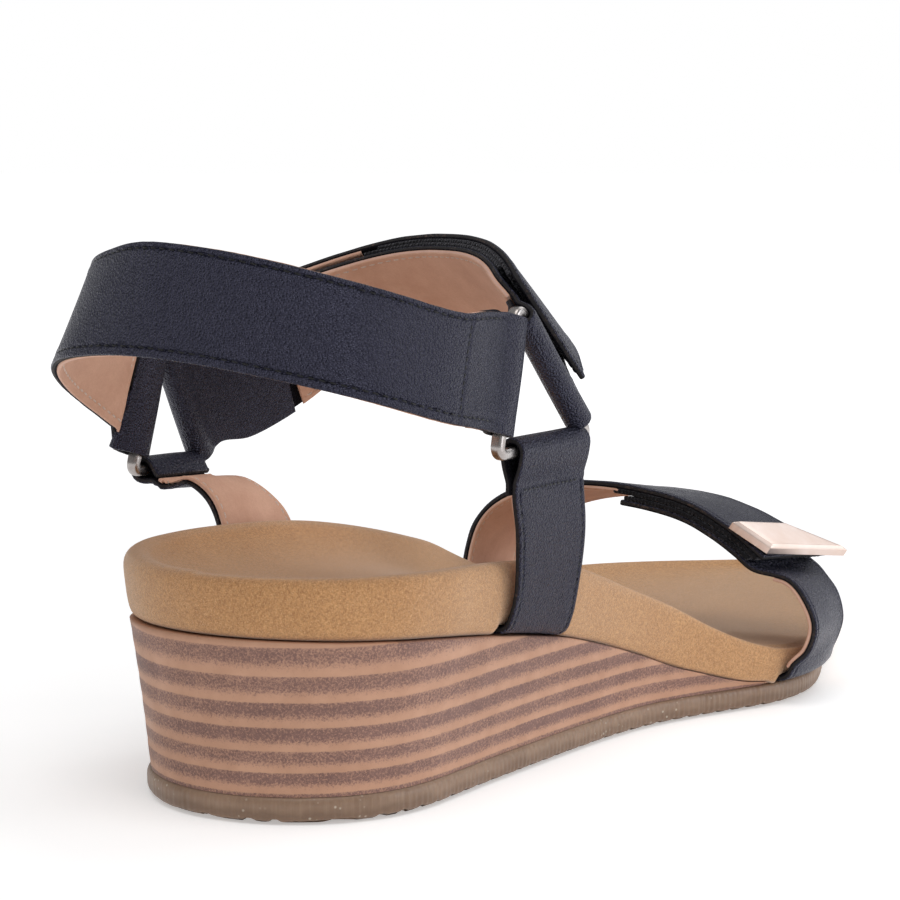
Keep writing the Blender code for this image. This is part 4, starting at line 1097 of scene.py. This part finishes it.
# ------------------------------------------------------------ side straps
def side_strap(prefix, side, xr, bar_a, bar_b, f0, f1, mids, lead, radius, tail=4.6):
    n = 5
    cols = []
    for k in range(n):
        x = xr[0] + (xr[1] - xr[0]) * k / (n - 1)
        zs = float(seat(x))
        col = []
        for d, z in ((-4.4, zs + GAP + LEATHER / 2), (0.2, zs + GAP + LEATHER / 2),
                     (3.1, zs + 1.6), (4.6, zs + 4.4), (5.6, zs + 8.5)):
            px, py = edge_point(x, side, d)
            col.append((px, py, z))
        for rear, front in mids:
            col.append(tuple(lerp(rear, front, k / (n - 1))))
        cols.append(col)
    centres = bar_points(bar_a, bar_b, f0, f1, n)
    body, loop, back = looped_grid(cols, centres, np.array(bar_b) - np.array(bar_a), (0, -side, 0), radius, lead, tail)
    back = cut(back, 0.0, -0.01, 20)
    g = join(body, loop, back)
    L = row_pos(body)[-1]
    st = strap(prefix + "_strap_leather", g, LEATHER, (60, 0, 50), LM, sA=1.3, sB=1.3,
               srange=(5.5, L - 1.4), cross=(L - 1.4,), waves=0.25, seed=3 + side)
    add(st, "shoe", "leather", prefix + "_strap")
    inner = shifted(body, IN, (60, 0, 50))
    if side < 0:
        inner = inset(inner, 0.085, 0.03)
    li = strap(prefix + "_strap_liner", cut(inner, 7.6, -(tail + 0.5), 90), LINING, (60, 0, 50), NM, sA=1.3, sB=1.3,
               stitch_side=-1, relief=0.6, seed=9)
    add(li, "shoe", "lining", prefix + "_strap_lining")


side_strap("lateral", -1, LAT_SIDE, LR_B, LR_C, 0.16, 0.90,
           [((50.7, -35.6, 44.5), (73.8, -35.6, 44.5)), ((49.1, -36.6, 50.0), (72.6, -36.6, 50.0))], 6.2, 2.2, 2.2)
side_strap("medial", 1, MED_SIDE, MR_B, MR_C, 0.13, 0.86,
           [((47.0, 35.0, 45.0), (69.2, 35.6, 44.6)), ((46.4, 37.4, 51.0), (67.6, 38.4, 48.6)),
            ((43.0, 39.6, 54.6), (63.6, 41.6, 52.2))], 3.3, 2.2, 0.6)


# ------------------------------------------------------------ rings
def wire_ring(name, corners, node):
    r = 1.4
    pts = []
    c = [np.array(p, float) for p in corners]
    arcs = []
    for i in range(3):
        p, a, b = c[i], c[i - 1], c[(i + 1) % 3]
        ua, ub = unit(a - p), unit(b - p)
        ang = math.acos(np.dot(ua, ub))
        d = r / math.tan(ang / 2)
        cen = p + unit(ua + ub) * (r / math.sin(ang / 2))
        s, e = p + ua * d - cen, p + ub * d - cen
        sweep = math.pi - ang
        arc = []
        for k in range(15):
            f = k / 14
            arc.append(cen + math.sin((1 - f) * sweep) / math.sin(sweep) * s + math.sin(f * sweep) / math.sin(sweep) * e)
        arcs.append(arc)
    for i in range(3):
        pts += arcs[i]
        a, b = arcs[i][-1], arcs[(i + 1) % 3][0]
        for f in np.linspace(0, 1, 22)[1:-1]:
            pts.append(lerp(a, b, f))
    P = np.array(pts)
    T = np.roll(P, -1, axis=0) - np.roll(P, 1, axis=0)
    T /= np.linalg.norm(T, axis=1)[:, None]
    pn = unit(np.cross(c[1] - c[0], c[2] - c[0]))
    side = np.cross(T, pn)
    side /= np.linalg.norm(side, axis=1)[:, None]
    S = 32
    R = 1.25
    soft = lambda v: math.copysign(abs(v) ** 0.62, v)
    tube = np.stack([P + side * soft(math.cos(2 * math.pi * k / S)) * R * 0.92
                     + pn * soft(math.sin(2 * math.pi * k / S)) * R * 1.0 for k in range(S + 1)], axis=1)
    B = Build()
    B.grid(tube, 0, closed_u=True)
    ob = B.make(name, [NICKEL_M], 2e-6)
    return add(ob, "shoe", "steel", node)


wire_ring("lateral_wire_ring", (LR_A, LR_B, LR_C), "lateral_ring")
wire_ring("medial_wire_ring", (MR_A, MR_B, MR_C), "medial_ring")

# ------------------------------------------------------------ heel strap
HEEL = [((19, -41.5, 73.6), (24, -41, 93.0)), ((2, -34.5, 78.8), (6, -35.5, 98)),
        ((-8, -20, 82.8), (-6, -24, 102.4)), ((-13.5, -8, 85), (-11.5, -12, 104.9)),
        ((-16, 4, 85.8), (-13, 1, 105.8)), ((-14.5, 18, 84.7), (-9.5, 12.5, 103.8)),
        ((-5, 31, 81.4), (-2.5, 22.3, 101.2)), ((7, 39.5, 76.5), (8.5, 30.5, 97.2)), ((18.5, 42.8, 70.8), (21, 37.8, 91.5)),
        ((26.0, 43.6, 66.8), (28.5, 41.0, 87.0))]
NH = 4
lat_c = bar_points(LR_B, LR_A, 0.13, 0.92, NH)
med_c = bar_points(MR_B, MR_A, 0.11, 0.84, NH)
heel_cols = [[tuple(lerp(a, b, k / (NH - 1))) for a, b in HEEL] for k in range(NH)]
half = 4
fwd = looped_grid([c[half:] for c in heel_cols], med_c, np.array(MR_A) - np.array(MR_B), (-0.2, -1, 0), 2.15, 5.0, 2.6)
rev = looped_grid([c[:half + 1][::-1] for c in heel_cols], lat_c, np.array(LR_A) - np.array(LR_B), (-0.2, 1, 0),
                  2.15, 5.0, 8.5)
body_h = np.stack([catmull(np.concatenate([[rev[0][-1, k]], [rev[0][-18, k]], np.array(heel_cols[k]),
                                           [fwd[0][-18, k]], [fwd[0][-1, k]]]), 320, 24) for k in range(NH)], axis=1)
heel = join(rev[2][::-1], rev[1][::-1], body_h, fwd[1], fwd[2])
Lb = row_pos(rev[2])[-1] + row_pos(rev[1])[-1]
Lf = row_pos(fwd[2])[-1] + row_pos(fwd[1])[-1]
ob = strap("heel_strap_leather", heel, LEATHER, (20, 0, 90), LM, sA=1.75, sB=1.15,
           srange=(Lb + 1.0, -(Lf + 1.0)), cross=(Lb + 15.8, -(Lf + 5.2)), waves=0.35, seed=21)
add(ob, "shoe", "leather", "heel_strap")
ob = strap("heel_strap_liner", cut(shifted(body_h, IN, (20, 0, 90)), 4.0, -4.0, 300), LINING, (20, 0, 90), NM,
           sA=1.75, sB=1.15, cross=(-1.6,), stitch_side=-1, relief=0.6, seed=22)
add(ob, "shoe", "lining", "heel_strap_lining")

# ------------------------------------------------------------ instep strap
INSTEP = [((49.5, -32.2, 94.4), (70.6, -33.2, 73.8)), ((55.3, -25.3, 98.6), (78.2, -26.5, 79.5)),
          ((62.5, -16, 101.0), (85.2, -16.5, 83.2)), ((68, -5, 101.5), (89.5, -4, 84.8)),
          ((70.5, 6, 100.9), (90.5, 8, 83.7)), ((69.5, 16, 98.9), (88.5, 19, 80.0)),
          ((65, 25, 95.8), (84, 28.5, 73.8)), ((57, 33, 92.2), (75.8, 36.5, 65.4)),
          ((48.5, 38.8, 88.8), (64.5, 43.8, 59.2))]
NI = 4
OUTSIDE = (70, 0, 60)
arch = np.stack([catmull([tuple(lerp(a, b, k / (NI - 1))) for a, b in INSTEP], 400, 32) for k in range(NI)], axis=1)
tab_mid = shifted(arch, -(LINING + 0.05 + LEATHER / 2), OUTSIDE)
o_loop = LINING + 0.05 + LEATHER
o_flap = o_loop + 1.85
loop_mid = shifted(arch, -(o_loop + 0.02 + 0.43), OUTSIDE)
hook_mid = shifted(arch, -(o_flap - 0.02 - 0.44), OUTSIDE)
flap_mid = shifted(arch, -(o_flap + LEATHER / 2), OUTSIDE)
lat_bar = bar_points(LR_A, LR_C, 0.08, 0.87, NI)
med_bar = bar_points(MR_A, MR_C, 0.12, 0.94, NI)

src = cut(tab_mid, 6.0, 78.0, 10)
tb, tl, tk = looped_grid([[tuple(p) for p in src[::-1, k]] for k in range(NI)], lat_bar,
                         np.array(LR_C) - np.array(LR_A), (0, 1, -0.3), 2.15, 4.6, 1.8)
L = row_pos(tb)[-1]
ob = strap("instep_tab_leather", join(tb, tl, tk), LEATHER, OUTSIDE, LM, sA=1.3, sB=1.3,
           srange=(1.0, L - 5.5), cross=(L - 6.5,), seed=31, waves=0.15)
add(ob, "instep_tab", "leather", "instep_tab")
ob = strap("instep_tab_liner", cut(shifted(tb, IN, OUTSIDE), 0.1, -2.8, 220), LINING + 0.2, OUTSIDE, NM, sA=1.3, sB=1.3,
           stitch_side=-1, relief=0.6, seed=32)
add(ob, "instep_tab", "lining", "instep_tab_lining")
ob = strap("instep_loop_pad", cut(loop_mid, 10.0, 64.0, 160), 0.86, OUTSIDE, TM, sA=1.2, sB=1.2, seed=33, relief=0.7)
add(ob, "instep_tab", "tape", "instep_loop_tape")

src = cut(flap_mid, 3.0, -3.0, 14)
fb, fl, ft = looped_grid([[tuple(p) for p in src[:, k]] for k in range(NI)], med_bar,
                         np.array(MR_C) - np.array(MR_A), (0, -1, -0.3), 2.15, 3.4, 22.0, 200, 60)
L = row_pos(fb)[-1]
ob = strap("instep_flap_leather", join(fb, fl, ft), LEATHER, OUTSIDE, LM, sA=1.3, sB=1.3,
           srange=(1.4, L - 5.0), cross=(1.4, L - 20.0), seed=41, waves=0.25)
add(ob, "instep_flap", "leather", "instep_flap")
ob = strap("instep_hook_pad", cut(hook_mid, 5.6, 62.0, 180), 0.88, OUTSIDE, TM, sA=1.2, sB=1.2, stitch_side=-1,
           seed=42, relief=0.7)
add(ob, "instep_flap", "tape", "instep_hook_tape")
ob = strap("instep_flap_liner", cut(shifted(fb, IN, OUTSIDE), 61.0, -22.9, 90), LINING, OUTSIDE, NM, sA=1.3, sB=1.3,
           stitch_side=-1, relief=0.6, seed=43)
add(ob, "instep_flap", "lining", "instep_flap_lining")

# ------------------------------------------------------------ toe strap
TOE_FLAP = [((146.2, 42.2, 28.2), (172.4, 46.2, 25.4)),
            ((145.6, 39.2, 35.0), (173.3, 40.6, 32.6)), ((144.6, 34, 40.0), (174.3, 31.5, 37.0)),
            ((144.5, 27, 43.6), (175.5, 22.5, 39.9)), ((146, 17, 45.8), (176.5, 12, 41.5)),
            ((147.5, 7, 46.3), (177, 2, 41.9)), ((148.3, -5, 45.4), (177.3, -9, 41)),
            ((148.5, -17, 43), (177.3, -18.5, 38.6)), ((148.5, -26, 38.9), (177.1, -26.5, 35.5)),
            ((149.0, -31, 35.5), (176.9, -32.5, 32.9)), ((149.6, -35.4, 32.1), (176.6, -37.6, 30.0))]
NT = 5
UNDER = (160, 0, 10)
flap_t = np.stack([catmull([tuple(lerp(a, b, k / (NT - 1))) for a, b in TOE_FLAP], 400, 32) for k in range(NT)], axis=1)
tape_in = LEATHER / 2 + GAP + TAPE / 2
tab_in = LEATHER / 2 + GAP + TAPE + GAP + TAPE + GAP + LEATHER / 2
hook_t = shifted(flap_t, LEATHER / 2 + 0.02 + 0.58, UNDER)
loop_t = shifted(flap_t, tab_in - LEATHER / 2 - 0.02 - 0.54, UNDER)
tab_t = shifted(flap_t, tab_in, UNDER)
liner_t = shifted(flap_t, IN, UNDER)

root_cols, tab_cols = [], []
for k in range(NT):
    f = k / (NT - 1)
    x = MED_TOE[0] + (MED_TOE[1] - MED_TOE[0]) * f
    zs = float(seat(x))
    top = lerp(*TOE_FLAP[0], f)
    nxt = lerp(*TOE_FLAP[1], f)
    col = []
    for d, z in ((-4.4, zs + GAP + LEATHER / 2), (-0.3, zs + GAP + LEATHER / 2), (2.3, zs + 1.7),
                 (3.6, zs + 5.0), (3.9, float(rim_med(x)) - 2.5)):
        px, py = edge_point(x, 1, d)
        col.append((px, py, z))
    col.append(tuple(top))
    root_cols.append(col)
    x = LAT_TOE[0] + (LAT_TOE[1] - LAT_TOE[0]) * f
    zs = float(seat(x))
    col = []
    for d, z in ((-4.4, zs + GAP + LEATHER / 2), (-0.3, zs + GAP + LEATHER / 2), (2.3 - 0.3 * f, zs + 1.7),
                 (4.1 - 1.1 * f, zs + 4.3)):
        px, py = edge_point(x, -1, d)
        col.append((px, py, z))
    rear = [(151.2, -45.6, 12.0), (152.0, -46.9, 17.5), (151.4, -45.2, 23.0), (150.6, -41.2, 27.8)]
    front = [(175.2, -40.9, 12.2), (175.3, -41.9, 16.5), (175.6, -40.4, 21.6), (176.2, -37.4, 24.9)]
    for a, b in zip(rear, front):
        col.append(tuple(lerp(a, b, f)))
    up = cut(tab_t, 46.5, -1.0, 9)[:, k][::-1]
    col += [tuple(p) for p in up]
    tab_cols.append(col)

# the flap and its root are one piece of leather
whole = np.stack([catmull(list(root_cols[k]) + [tuple(lerp(a, b, k / (NT - 1))) for a, b in TOE_FLAP[1:]], 420, 32)
                  for k in range(NT)], axis=1)


def add_blend(piece, slot, *nodes):
    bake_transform(piece)
    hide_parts(*nodes)
    return piece


whole = cut(whole, 0.0, -0.3, 380)
ob = strap("toe_strap_upper", whole, LEATHER, UNDER, LM, sA=1.4, sB=1.4, srange=(7.0, -0.5), waves=0.25, seed=51)
add_blend(ob, "leather", "toe_flap", "toe_flap_root")
inner = shifted(whole, IN, UNDER)
Lr = row_pos(whole)[-1] - row_pos(cut(flap_t, 0.01, -0.3, 200))[-1]
ob = strap("toe_strap_liner", cut(inner, 8.2, Lr + 46.4, 160), LINING, UNDER, NM, sA=1.4, sB=1.4, stitch_side=-1,
           relief=0.6, seed=52)
add_blend(ob, "lining", "toe_flap_lining", "toe_flap_root_lining")
ob = strap("toe_hook_pad", cut(hook_t, 47.0, -1.5, 120), 1.12, UNDER, TM, sA=1.2, sB=1.2, stitch_side=-1, seed=53, relief=0.7)
add(ob, "toe_flap", "tape", "toe_hook_tape")

tab = np.stack([catmull(c, 420, 24) for c in tab_cols], axis=1)
ob = strap("toe_tab_leather", tab, LEATHER, (160, 0, 20), LM, sA=1.4, sB=1.4, srange=(7.0, -1.2), cross=(-1.4,),
           waves=0.25, seed=61)
add(ob, "shoe", "leather", "toe_tab")
ob = strap("toe_tab_liner", cut(shifted(tab, IN, (160, 0, 12)), 7.0, -38.0, 200), LINING, (160, 0, 12), NM, sA=1.4, sB=1.4,
           stitch_side=-1, relief=0.6, seed=62)
add(ob, "shoe", "lining", "toe_tab_lining")
ob = strap("toe_loop_pad", cut(loop_t, 48.5, -3.0, 100), 1.06, UNDER, TM, sA=1.2, sB=1.2, seed=63, relief=0.7)
add(ob, "shoe", "tape", "toe_loop_tape")


# ------------------------------------------------------------ metal plate
def plate_h(d):
    # a flat top with a wide flat bevel and a short upright side
    t = PLATE_THICK / 2
    return np.interp(d, [0, 0.10, 0.85, 1.0, 1.4], [t - 0.95, t - 0.78, t - 0.10, t - 0.03, t])


PLATE = ((146.8, -29.5, 40.9), (165.0, -32.2, 38.6), (150.0, -37.3, 35.4), (177.5, -42.5, 32.0))
PN = unit(np.cross(np.subtract(PLATE[3], PLATE[0]), np.subtract(PLATE[2], PLATE[0])))
PN = PN if PN[2] > 0 else -PN
wide = np.array([[lerp(lerp(PLATE[0], PLATE[2], r), lerp(PLATE[1], PLATE[3], r), c) - PN * PLATE_THICK / 2
                  for c in np.linspace(0, 1, 7)] for r in np.linspace(0, 1, 60)])
ob = strap("toe_metal_plate", wide, PLATE_THICK, UNDER, [GOLD_M, GOLD_M, GOLD_M, GOLD_M], profile_h=plate_h,
           rows_per_mm=4.0, r=0.3, seed=71)
ob.data.set_sharp_from_angle(angle=math.radians(14))
add(ob, "toe_flap", "gold", "ornament_plate")


# ============================================================ camera, light, floor
def camera():
    cd = bpy.data.cameras.new("camera")
    co = bpy.data.objects.new("camera", cd)
    bpy.context.scene.collection.objects.link(co)
    cd.sensor_width = 36.0
    cd.lens = 104.3
    cd.clip_start, cd.clip_end = 0.01, 20
    co.location = world((-357.9, -306.0, 120.3))
    co.rotation_euler = (math.radians(90 - 6.38), 0, math.radians(-55.0))
    bpy.context.scene.camera = co


def area(name, loc, target, size, power, color=(1, 1, 1)):
    ld = bpy.data.lights.new(name, "AREA")
    ld.shape = "RECTANGLE"
    ld.size, ld.size_y = size
    ld.energy = power
    ld.color = color
    lo = bpy.data.objects.new(name, ld)
    bpy.context.scene.collection.objects.link(lo)
    lo.location = loc
    dv = Vector(target) - Vector(loc)
    lo.rotation_euler = dv.to_track_quat("-Z", "Y").to_euler()
    return lo


camera()
area("key", (-0.35, -0.30, 1.05), (0, 0, 0.04), (0.8, 0.8), 5.0, (1.0, 0.985, 0.965))
area("side", (0.46, -0.98, 0.26), (-0.02, 0, 0.06), (0.7, 0.42), 3.4, (0.92, 0.95, 1.0))
area("front", (0.80, -0.18, 0.85), (0.04, 0, 0.04), (0.9, 0.8), 3.0, (0.98, 0.99, 1.0))

fm = Mat("floor_paper")
fm.set(color=fm.mix(fm.mapr(fm.noise(3.0, 2), 0.3, 0.7, 0, 1), (0.86, 0.86, 0.865, 1), (0.875, 0.875, 0.88, 1)), rough=0.85, spec=0.1)
fm.b.inputs["Emission Color"].default_value = (1, 1, 1, 1)
far = fm.node("ShaderNodeVectorMath", operation="LENGTH")
fm.link(fm.coord, far.inputs[0])
fm.link(fm.mapr(far.outputs["Value"], 0.25, 0.9, 0.38, 0.76), fm.b.inputs["Emission Strength"])
floor = mesh_object("floor", [(-60, -60, -0.0003), (60, -60, -0.0003), (60, 60, -0.0003), (-60, 60, -0.0003)], [(0, 1, 2, 3)], [fm.m])

sc = bpy.context.scene
w = bpy.data.worlds.new("studio")
sc.world = w
w.use_nodes = True
wt = w.node_tree
bg = wt.nodes["Background"]
bg.inputs["Color"].default_value = (0.985, 0.99, 1.0, 1)
bg.inputs["Strength"].default_value = 0.35
plain = wt.nodes.new("ShaderNodeBackground")
plain.inputs["Color"].default_value = (1.0, 1.0, 1.0, 1)
plain.inputs["Strength"].default_value = 1.0
ray = wt.nodes.new("ShaderNodeLightPath")
pick = wt.nodes.new("ShaderNodeMixShader")
wt.links.new(ray.outputs["Is Camera Ray"], pick.inputs[0])
wt.links.new(bg.outputs[0], pick.inputs[1])
wt.links.new(plain.outputs[0], pick.inputs[2])
wt.links.new(pick.outputs[0], wt.nodes["World Output"].inputs["Surface"])
sc.view_settings.view_transform = "Standard"
